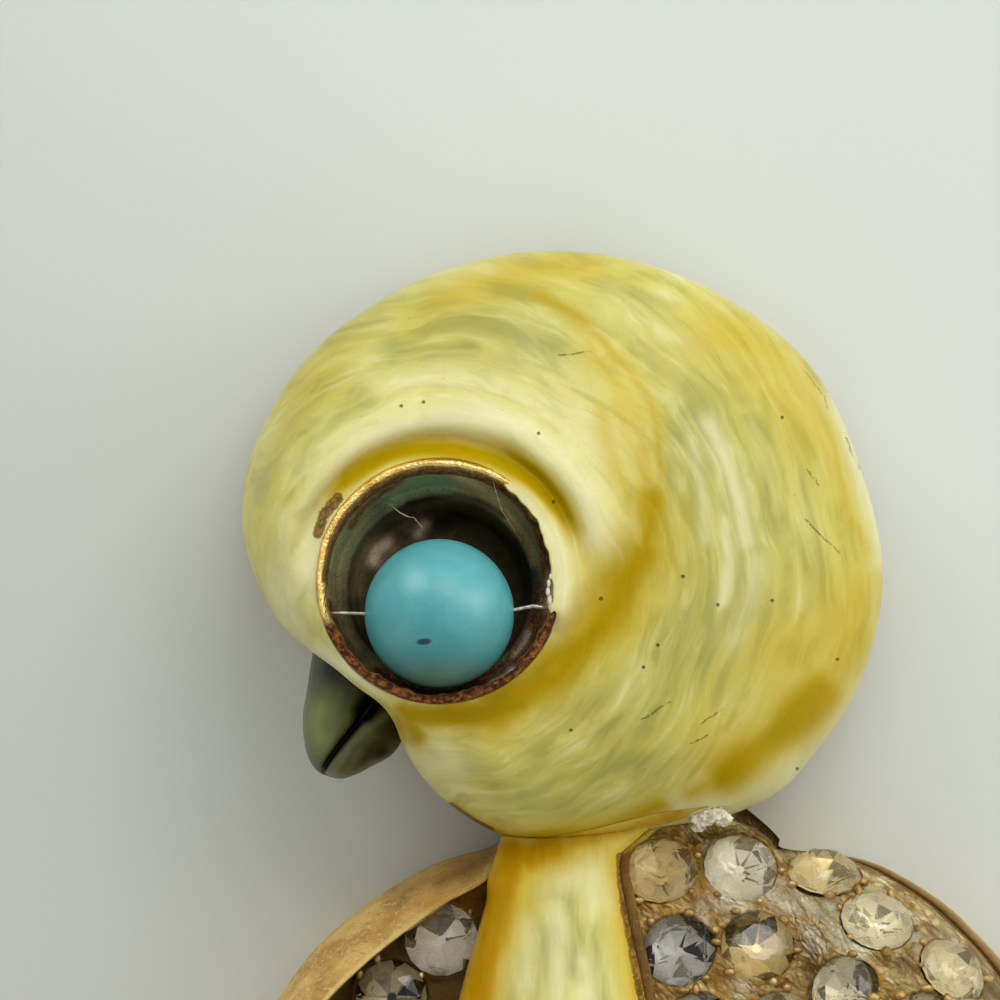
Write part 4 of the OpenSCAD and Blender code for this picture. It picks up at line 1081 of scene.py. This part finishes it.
casting = skin("body_casting_gilt", body_at, {
    "collar": capped_mark(bell(near - 1.06, 0.06) * shelf), "shell": capped_mark(part == SHELL),
    "lip": capped_mark((part == LIP) + 0.15 * (part == BORDER) + 0.1 * (part == RIM)),
    "rim": capped_mark((part == RIM) * 0.9 + (part == BORDER) * 1.1), "recess": capped_mark(part == RECESS),
    "bed": capped_mark((part == FLANK) | (part == WING)),
    "between": capped_mark(ease(1.08, 1.3, near) * shelf),
    "grime": capped_mark(bell(near - 0.98, 0.07) * shelf),
    # Dark brown lines, and painted shade near the neck, along the shell's top edge and between the stones
    "umber_and_shade": painted(body_at, [
        [0.6, 4, (322, 922), (362, 890), (410, 869), (460, 855), (498, 847)],
        [0.5, 7, (396, 892), (430, 880), (468, 872)],
        [0.95, 9, (440, 882), (470, 868), (496, 852)], [0.8, 6, (505, 850), (498, 880), (486, 905)],
        [0.9, 3.5, (710, 842), (711, 866), (722, 884), (735, 898)],
        [0.9, 8, (812, 950), (814, 990), (818, 1020)],
        [0.8, 3.2, (847, 860), (880, 871), (913, 890), (948, 918), (985, 954), (1010, 985)],
        [0.9, 6, (614, 856), (622, 900), (631, 940), (641, 990)],
        [0.7, 6, (640, 838), (624, 848), (614, 862)],
        [0.8, 6, (744, 812), (764, 832), (780, 846)], [0.5, 8, (940, 930), (965, 955), (985, 985)],
        [0.9, 5, (692, 838), (699, 858), (701, 882)], [1.0, 13, (944, 990), (974, 972), (998, 994)],
        [0.8, 7, (955, 960), (985, 975)], [1.0, 4, (700, 832), (711, 836), (723, 833)],
        [0.8, 7, (722, 840), (736, 832), (752, 836)],
        [0.7, 5, (900, 960), (930, 975), (960, 1000)], [0.7, 6, (775, 935), (800, 945)],
    ]),
    "glaze": painted(body_at, [[1.0, 9, (618, 846), (634, 836), (656, 825), (692, 811)]]),
    "amber": painted(body_at, [
        [0.9, 8, (494, 880), (478, 892), (458, 903)], [0.9, 11, (436, 902), (456, 898), (470, 906)],
        [0.9, 10, (710, 888), (726, 902)], [0.8, 6, (690, 850), (700, 876), (704, 900)],
        [0.7, 5, (636, 850), (634, 880), (638, 905)],
        [0.6, 6, (690, 815), (680, 830), (664, 836)], [0.8, 7, (646, 900), (665, 906), (682, 902)],
        [0.7, 9, (650, 828), (684, 818)],
        [0.6, 10, (768, 905), (795, 915)], [0.6, 8, (716, 960), (722, 990)],
        [0.5, 9, (836, 950), (850, 975)],
    ]),
    # Painted highlights, cream, on the metal round the stones
    "cream_highlight": painted(body_at, [
        [0.9, 9, (744, 886), (772, 894), (792, 908)], [0.6, 5, (716, 850), (718, 870)],
        [0.8, 8, (720, 898), (742, 908)], [1.0, 8, (836, 932), (858, 950)],
        [0.8, 7, (806, 930), (818, 944)],
        [1.0, 5, (826, 904), (833, 907)], [1.0, 4, (877, 923), (884, 928)],
        [0.8, 5, (782, 884), (806, 902), (840, 930)],
        [0.9, 3, (796, 864), (810, 859), (824, 870), (828, 890)], [0.8, 5, (838, 930), (852, 950)],
        [0.7, 7, (735, 958), (742, 985)], [0.6, 6, (905, 925), (922, 950)],
        [0.6, 5, (700, 905), (706, 930)],
    ]),
})
material, shader, place = finish("gilt_casting")
sand = place.noise(7.5, 5, 0.65)
fine_sand = place.noise(26, 3, 0.6)
patch = place.noise(0.75, 4, 0.55)
streak = place.stretched((1.0, 3.2, 1.0)).noise(2.2, 4, 0.6)
x, y, z = place.axes()
drawn = place.vector(x * 0.75 - y * 0.66, (y * 0.75 + x * 0.66) * 2.0, z * 1.2)
bent = drawn.node("ShaderNodeVectorMath", {"operation": "MULTIPLY_ADD"}, {
    0: drawn.noise(1.3, out=1), 1: (0.9, 0.9, 0.9), 2: drawn,
})
chips, dents = bent.cells(2.7, 1).axes()[0], bent.cells(2.7, 0)
drawn = bent.noise(1.6, 4, 0.6, 0.4)
body = patch.between(0.38, 0.66).blend(colour(236, 200, 126), colour(204, 162, 92))
body = (sand.between(0.5, 0.68) * 0.7).blend(body, colour(250, 226, 170))
body = (streak.between(0.55, 0.7) * 0.4).blend(body, colour(140, 104, 58))
set_part = place.mark("bed")
metal = chips.between(0.2, 0.8).blend(colour(214, 174, 94), colour(255, 234, 170))
metal = (drawn.between(0.53, 0.62) * 0.7).blend(metal, colour(156, 114, 54))
metal = ((1 - drawn).between(0.53, 0.61) * 0.9).blend(metal, colour(255, 240, 188))
metal = (dents.between(0.36, 0.5) * 0.4).blend(metal, colour(116, 84, 44))
body = set_part.blend(body, metal)
body = (place.mark("between") * 0.6 * patch.between(0.5, 0.66)).blend(body, colour(126, 92, 44))
body = (place.mark("recess") * (0.75 + 0.25 * patch)).blend(body, colour(70, 42, 14))
body = (place.mark("lip") * 0.8).blend(body, colour(255, 226, 150))
body = (place.mark("rim") * (0.3 + 0.8 * sand)).blend(body, colour(144, 108, 60))
on_collar = place.mark("collar") * (1 - place.mark("recess"))
body = (on_collar * (0.4 + 0.6 * sand)).blend(body, colour(228, 184, 92))
body = (place.mark("grime") * (0.3 + 0.9 * sand)).blend(body, colour(88, 58, 26))
# Dark brown lines and painted shade
body = (place.mark("umber_and_shade") * (0.4 + 0.7 * sand)).blend(body, colour(104, 76, 40))
body = (place.mark("amber") * (0.4 + 0.8 * sand)).blend(body, colour(206, 158, 66))
# Painted highlights, cream
body = (place.mark("cream_highlight") * (0.4 + 0.9 * sand)).blend(body, colour(255, 250, 226))
glaze = (place.mark("glaze") * (0.6 + 0.8 * sand)).between(0.3, 0.7)
glaze_tone = patch.between(0.35, 0.65).blend(colour(208, 170, 44), colour(222, 198, 92))
body = glaze.blend(body, glaze_tone)
feed(shader, "Base Color", body)
feed(shader, "Metallic", ((1 - 0.45 * set_part * (1 - drawn)) * (1 - glaze)).clip())
dull = 0.2 * place.mark("shell") + 0.25 * place.mark("recess") - 0.08 * place.mark("lip")
feed(shader, "Roughness", (0.3 + 0.25 * sand + dull).clip())
bump(shader, 0.3 * sand + 0.25 * fine_sand + (1.2 * drawn - 1.1 * dents) * set_part, 0.26)
casting.data.materials.append(material)
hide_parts("casting")
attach(casting, "root")

# Bead prongs
# Grains of the casting's own metal pushed over the edge of each stone, up to six to a stone, where
# there is room for them. They are rounded by wear and dulled in patches.


def standing(at, x_way, y_way, up):
    """The matrix that sets a small piece on the casting."""
    return Matrix((
        (x_way[0], y_way[0], up[0], at[0]), (x_way[1], y_way[1], up[1], at[1]),
        (x_way[2], y_way[2], up[2], at[2]), (0, 0, 0, 1),
    ))


# Least distance between two prongs, and from a prong to the middle of the next stone
prongs_apart, next_stone_off = 0.3, 1.05
bm = bmesh.new()
chance = np.random.default_rng(7)
grains = []
for (bed, p, x_way, y_way, up), r in zip(seats, stone_r):
    start = chance.uniform(0, 360)
    for k in range(6):
        a = math.radians(start + 60 * k + chance.uniform(-20, 20))
        reach = r + chance.uniform(0.05, 0.16)
        q = p + (x_way * math.cos(a) + y_way * math.sin(a)) * reach + up * 0.1
        room_left = np.sort(np.linalg.norm(middles - q, axis=1))[1]
        if room_left < next_stone_off or any(np.linalg.norm(q - g) < prongs_apart for g in grains):
            continue
        if float(outline(np.degrees(np.arctan2(q[1], q[0])) % 360)) + 0.15 > math.hypot(q[0], q[1]):
            continue
        s_at = (neck_y - q[1]) / body_h
        if not (0.06 < s_at < 0.97) or q[0] > right_rim_x(s_at) - 0.1 or q[0] < across(2, s_at) + 0.15:
            continue
        if across(3, s_at) - 0.15 < q[0] < across(4, s_at) + border_w:
            continue
        grains.append(q)
        made = bmesh.ops.create_uvsphere(bm, u_segments=8, v_segments=6, radius=chance.uniform(0.09, 0.17))
        stretch = chance.uniform(0.7, 1.45)
        bmesh.ops.scale(bm, vec=(stretch, 1 / stretch, 0.85), verts=made["verts"])
        bmesh.ops.transform(bm, matrix=standing(q, x_way, y_way, up), verts=made["verts"])
to_metres(bm)
prongs = set_down("stone_prongs", bm)
material, shader, place = finish("gilt_grains", Metallic=1.0)
dull = place.noise(1.6, 3)
body = dull.between(0.35, 0.65).blend(colour(214, 182, 120), colour(150, 116, 66))
feed(shader, "Base Color", body)
feed(shader, "Roughness", 0.34 + 0.25 * dull)
bump(shader, place.noise(14, 3), 0.04)
prongs.data.materials.append(material)
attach(prongs, "root")

# Stones
# Cut glass with a table, a crown and a pavilion, backed with foil and set in the casting's seats.
# Age has yellowed some, and where the foil has failed the stone looks grey or black.

# One stone from its table down to its foot: sides, share of the radius, share of the height, turn
STONE = [
    (8, 0.53, 1, 0), (8, 0.82, 0.83, 0.5), (16, 1.0, 0.56, 0), (16, 1.0, 0.49, 0), (8, 0.6, 0.2, 0.5),
    (8, 0.13, 0, 0),
]
stone_foot = 0.1 - seat_depth


def stone_points(r):
    """Corners of one stone about the middle of its seat's mouth."""
    points = []
    for sides, width, level, off in STONE:
        for k in range(sides):
            a = math.tau * (k + off) / sides
            points.append((r * width * math.cos(a), r * width * math.sin(a), stone_foot + stone_h * level))
    return points


# Stones whose state the picture shows: place on the grid, how yellow, how dead the foil is, and the
# direction of the dark side in degrees. A row stands for the stone found within so many steps.
# Facets toward the dark side are painted dark, as the reflected dark window of a cut stone
STATES = [
    (661, 872, 0.75, 0.05, None), (689, 948, 0.0, 0.8, 45), (712, 1024, 0.1, 1.0, None),
    (748, 862, 0.2, 0.0, 0), (766, 962, 0.9, 0.3, 110), (809, 876, 0.7, 0.1, None),
    (863, 922, 0.4, 0.0, None), (929, 966, 0.6, 0.25, None), (840, 975, 0.3, 0.1, 20),
    (445, 948, 0.05, 0.0, 130), (405, 987, 0.5, 0.8, None),
]
found_within = 34
FIELDS = [
    ("left_stones", left_bed, "stones_dark"), ("flank_stones", flank_bed, "stones"),
    ("wing_stones", wing_bed, "stones"),
]
state_of = []
for bed, p, x_way, y_way, up in seats:
    gx, gy = grid(p)
    *spot, old, dull, dark_window_side = min(STATES, key=lambda row: math.dist(row[:2], (gx, gy)))
    if math.dist(spot, (gx, gy)) < found_within:
        state_of.append((old, dull, dark_window_side))
    else:
        state_of.append((chance.uniform(0.2, 0.9), 0.6 * chance.uniform(0, 1) ** 3, None))

stone_glass, shader, place = finish("stone_glass", IOR=1.52, Transmission_Weight=1.0, Specular_IOR_Level=0.5)
film = place.noise(3.0, 3)
body = place.mark("yellow").blend(colour(252, 252, 248), colour(252, 238, 190))
body = (film.between(0.5, 0.75) * 0.3).blend(body, colour(220, 208, 176))
feed(shader, "Base Color", body)
feed(shader, "Roughness", 0.04 + 0.2 * film.between(0.45, 0.75))
stone_foil, shader, place = finish("stone_foil")
wear = place.noise(3.5, 4, 0.6)
tone = place.mark("tone")
body = tone.blend(colour(150, 138, 102), colour(255, 253, 244))
body = (place.mark("yellow") * 0.75 * tone).blend(body, colour(248, 218, 132))
# Dead foil goes dark, and so do the facets painted dark as the dark window
body = (place.mark("dead_and_dark_window") * (1.5 - tone)).clip().blend(body, colour(40, 40, 38))
body = (wear.between(0.54, 0.66) * 0.5 * (0.3 + place.mark("yellow"))).blend(body, colour(144, 110, 60))
feed(shader, "Base Color", body)
feed(shader, "Metallic", 0.95 - 0.8 * tone)
feed(shader, "Roughness", 0.14 + 0.3 * wear.between(0.4, 0.7))

for node, bed, slot in FIELDS:
    bm = bmesh.new()
    layers = {mark: bm.faces.layers.float.new(mark) for mark in ("yellow", "dead_and_dark_window", "tone")}
    for number, (owner, p, x_way, y_way, up) in enumerate(seats):
        if owner is not bed:
            continue
        old, dull, dark_window_side = state_of[number]
        turn_by = chance.uniform(0, math.tau)
        made = bmesh.ops.convex_hull(bm, input=[bm.verts.new(c) for c in stone_points(stone_r[number])])
        faces = [g for g in made["geom"] if isinstance(g, bmesh.types.BMFace)]
        verts = list({v for f in faces for v in f.verts})
        edges = list({e for f in faces for e in f.edges})
        bmesh.ops.dissolve_limit(bm, angle_limit=math.radians(2), verts=verts, edges=edges)
        middle_of = {f: f.calc_center_median() for v in verts if v.is_valid for f in v.link_faces}
        # Hundredths tell the facets apart, and keep their order the same in each run
        in_order = sorted(middle_of, key=lambda f: [round(middle_of[f][k], 2) for k in (2, 0, 1)])
        for f in in_order:
            middle = middle_of[f]
            f.material_index = int(middle.z < stone_foot + stone_h * 0.48)
            f[layers["yellow"]], f[layers["dead_and_dark_window"]] = old, dull
            f[layers["tone"]] = chance.choice([0.15, 0.7, 0.9, 1.0, 1.0, 1.0])
            # Painted reflection: facets toward the dark side go dark
            if dark_window_side is not None and math.hypot(middle.x, middle.y) > 0.01:
                from_dark = math.atan2(middle.y, middle.x) + turn_by - math.radians(dark_window_side)
                if math.cos(from_dark) > 0.55 and chance.uniform() < 0.75:
                    f[layers["dead_and_dark_window"]], f[layers["tone"]] = 0.35 + 0.9 * dull, chance.choice([0.1, 0.4])
        lean = Matrix.Rotation(turn_by, 4, "Z") @ Matrix.Rotation(chance.normal(0, 0.05), 4, "X")
        verts = [v for v in verts if v.is_valid]
        bmesh.ops.transform(bm, matrix=standing(p, x_way, y_way, up) @ lean, verts=verts)
    bmesh.ops.recalc_face_normals(bm, faces=bm.faces)
    to_metres(bm)
    field = set_down(node + "_cut", bm, smooth=False)
    field.data.materials.append(stone_glass)
    field.data.materials.append(stone_foil)
    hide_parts(node)
    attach(field, "root")

# A loose flake of white enamel has lodged where the wing's end meets the head, over a dark hole
flake_x, flake_y, flake_z = *on_face(712, 819), 4.75
# Lumps of the flake: offset on the grid, offset in height and radius
FLAKE = [
    (-12, 0, 0, 0.24), (-4, -3, 0.06, 0.26), (5, -4, 0.1, 0.24), (12, 0, 0.05, 0.2), (-14, 7, -0.1, 0.16),
]
bm = bmesh.new()
for dx, dy, dz, size in FLAKE:
    made = bmesh.ops.create_icosphere(bm, subdivisions=3, radius=size)
    lump_at = Vector((flake_x + dx / STEPS, flake_y - dy / STEPS, flake_z + dz))
    for v in made["verts"]:
        rough = 1 + 0.16 * math.sin(v.co.x * 41 + dx) * math.sin(v.co.y * 37)
        rough += 0.1 * math.sin(v.co.z * 53 + dy)
        v.co = lump_at + rough * v.co * Vector((1.1, 0.9, 0.6))
to_metres(bm)
flake = set_down("enamel_flake", bm, smooth=False)
material, shader, place = finish("white_flake", Roughness=0.45)
grit = place.noise(6, 3, 0.6)
feed(shader, "Base Color", grit.between(0.4, 0.66).blend(colour(238, 234, 216), colour(178, 166, 136)))
bump(shader, grit, 0.08)
flake.data.materials.append(material)
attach(flake, "root")

# Chest
# A crowned strip of the casting flooded with cream enamel, from the neck down between the recess
# and the flank. Grey-green streaks run down its middle, and the enamel is golden at its edges.

chest_rows, side_marks = [], []
chest_s = np.concatenate([
    np.linspace(-0.042, 0.36, 164), np.linspace(0.366, 0.945, 90), np.linspace(0.948, 0.96, 6),
])
for s in chest_s:
    at_neck = float(1 - ease(0.09, 0.13, s))
    left_x, right_x = across(3, s) - 0.16 * at_neck, across(4, s) + 0.02
    floor_z, top_z = recess_z(s) + seat_gap, crown(s)
    start_z = mixed(recess_z(s) + 0.5, lip_share * crown(s) - 0.1, at_neck)
    u = np.linspace(0, 1, 90)
    rise = np.maximum(np.sin(np.pi * u**0.8 * 0.78), 0) ** 0.55
    z = mixed(start_z, top_z, rise) + 0.8 * float(1 - ease(-0.035, 0.04, s)) ** 1.5
    xs = np.concatenate([[left_x], mixed(left_x, right_x, u), [right_x, (left_x + right_x) / 2, left_x]])
    zs = np.concatenate([[floor_z], z, [floor_z, floor_z, floor_z]])
    chest_rows.append(np.stack([xs, np.full_like(xs, neck_y - body_h * s), zs], -1))
    side_marks.append(np.concatenate([[1], 1 - ease(0, 0.28, u) * (1 - ease(0.8, 1, u)), [1, 1, 1]]))
chest_at = capped(clear_of_head(np.array(chest_rows)))
sides = capped_mark(side_marks)
chest = skin("chest_enamel", chest_at, {
    "chip": painted(chest_at, [
        [0.8, 4, (620, 856), (621, 880), (624, 905), (632, 950), (641, 1000), (645, 1030)],
    ]),
    "gold": np.maximum(0.62 * sides, painted(chest_at, [
        [0.9, 18, (504, 850), (530, 854), (552, 846)],
        [0.7, 11, (540, 838), (580, 838), (620, 832), (680, 812)],
        [1.0, 17, (512, 852), (500, 885), (494, 920), (484, 960), (474, 1010)],
        [0.6, 5, (617, 868), (621, 925), (631, 980), (639, 1020)],
    ])),
    "warm": np.maximum(0.5 * sides + 0.2, painted(chest_at, [
        [1.0, 20, (516, 900), (530, 868), (560, 856), (600, 850)], [0.8, 12, (560, 870), (552, 900)],
        [0.6, 10, (608, 870), (606, 930)],
    ])),
    "grey_and_shade": painted(chest_at, [
        [0.9, 9, (566, 892), (578, 930), (572, 970)], [0.8, 7, (592, 925), (600, 975), (606, 1020)],
        [0.75, 10, (548, 930), (540, 985), (536, 1020)], [0.6, 7, (522, 955), (512, 1000)],
        [0.5, 14, (556, 1030), (548, 1120)],
    ]),
    "pale_and_highlight": painted(chest_at, [
        [0.6, 13, (560, 880), (590, 872), (598, 900)], [0.55, 9, (556, 905), (558, 960), (556, 1010)],
        [0.5, 8, (584, 960), (588, 1010)], [0.5, 8, (528, 925), (524, 980)],
        [0.6, 16, (575, 1040), (570, 1200)],
    ]),
})
chest_enamel = enamel("chest_enamel", False, colour(208, 166, 16), colour(176, 130, 2), colour(196, 130, 6))
chest.data.materials.append(chest_enamel)
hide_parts("chest")
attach(chest, "root")

# Pin finding
# Hidden at the back, as one plain piece: a bar with a knuckle, a stem and a catch, in gilt metal
# dulled by handling.

material, shader, place = finish("gilt_finding", Metallic=1.0)
haze = place.noise(1.8, 4)
brushed = place.stretched((0.6, 9.0, 9.0)).noise(2.0, 3)
feed(shader, "Base Color", haze.between(0.35, 0.7).blend(colour(206, 168, 100), colour(160, 124, 72)))
feed(shader, "Roughness", 0.28 + 0.2 * haze)
bump(shader, brushed, 0.02)
for slot_of_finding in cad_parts["pin_finding"].material_slots:
    slot_of_finding.material = material

# Table, light and camera
# The brooch lies on its back on a pale sheet, lit by a soft lamp from the top right, two weak ones
# from the sides and a bright room, and is seen from straight above.

bm = bmesh.new()
bmesh.ops.create_grid(bm, x_segments=1, y_segments=1, size=0.4)
table = set_down("table_sheet", bm, smooth=False)
material, shader, place = finish("pale_sheet", Roughness=0.6)
x, y, z = place.axes()
# Painted light: the sheet is lighter toward the window and darker toward the lower left
painted_window_light = (0.6 * x + 0.45 * y + 6 * place.noise(0.02, 2)).between(-14, 12)
body = painted_window_light.blend(colour(193, 197, 190), colour(215, 221, 216))
feed(shader, "Base Color", body)
table.data.materials.append(material)

bpy.context.scene.view_settings.view_transform = "Standard"
world = bpy.data.worlds.new("room")
bpy.context.scene.world = world
world.use_nodes = True
tree = world.node_tree
start = Socket(tree, tree.nodes.new("ShaderNodeTexCoord").outputs["Generated"])
wx, wy, wz = start.axes()
window = (0.6 * wy + 0.6 * wx).between(-0.7, 0.9)
room = window.blend((0.74, 0.735, 0.71, 1), (1.12, 1.15, 1.12, 1))
over = wz.between(0.75, 0.98)
room = (over * 0.4).blend(room, (0.45, 0.45, 0.44, 1))
# Two bright openings in the room, by the way they lie
for way in ((-0.55, 0.71, 0.445), (0.85, 0.255, 0.445)):
    toward = start.node("ShaderNodeVectorMath", {"operation": "DOT_PRODUCT"}, {0: start, 1: way}, 1)
    room = toward.between(0.94, 0.99).blend(room, (4.6, 4.7, 4.6, 1))
back = tree.nodes["Background"]
tree.links.new(room.out, back.inputs["Color"])
back.inputs["Strength"].default_value = 0.61

# Lamps: name, width and height, watts, spread in degrees, colour, place and the point they shine on
LAMPS = [
    ("window", (0.14, 0.08), 0.05, 110, (1.0, 0.995, 0.97), (0.045, 0.115, 0.13), (0.004, 0.026, 0)),
    ("card", (0.09, 0.09), 0.012, 180, (1, 1, 1), (0.09, -0.04, 0.05), (0.012, -0.002, 0)),
    ("fill", (0.06, 0.06), 0.008, 180, (1, 1, 1), (-0.08, -0.035, 0.045), (-0.0056, 0.0021, 0)),
]
for name, (wide, high), watts, spread, tint, stand, aim in LAMPS:
    light = bpy.data.lights.new(name, "AREA")
    light.shape = "DISK" if wide == high else "RECTANGLE"
    light.size, light.size_y, light.energy, light.color = wide, high, watts, tint
    light.spread = math.radians(spread)
    lamp = bpy.data.objects.new(name, light)
    bpy.context.scene.collection.objects.link(lamp)
    lamp.location = stand
    lamp.rotation_euler = (Vector(aim) - lamp.location).to_track_quat("-Z", "Y").to_euler()

# The picture is as wide as 1000 steps of the grid in the plane level_z, camera_rise below the camera
level_z, camera_rise, picture_w = 4, 400, 1000
view = bpy.data.cameras.new("above")
view.lens_unit = "FOV"
view.angle = 2 * math.atan(picture_w / STEPS / 2 / camera_rise)
view.clip_start, view.clip_end = 0.01, 5
camera = bpy.data.objects.new("above", view)
bpy.context.scene.collection.objects.link(camera)
view_x, view_y = on_face(picture_w / 2, picture_w / 2)
camera.location = ((view_x - axis_x) / 1000, (view_y - middle_y) / 1000, (level_z + camera_rise) / 1000)
bpy.context.scene.camera = camera
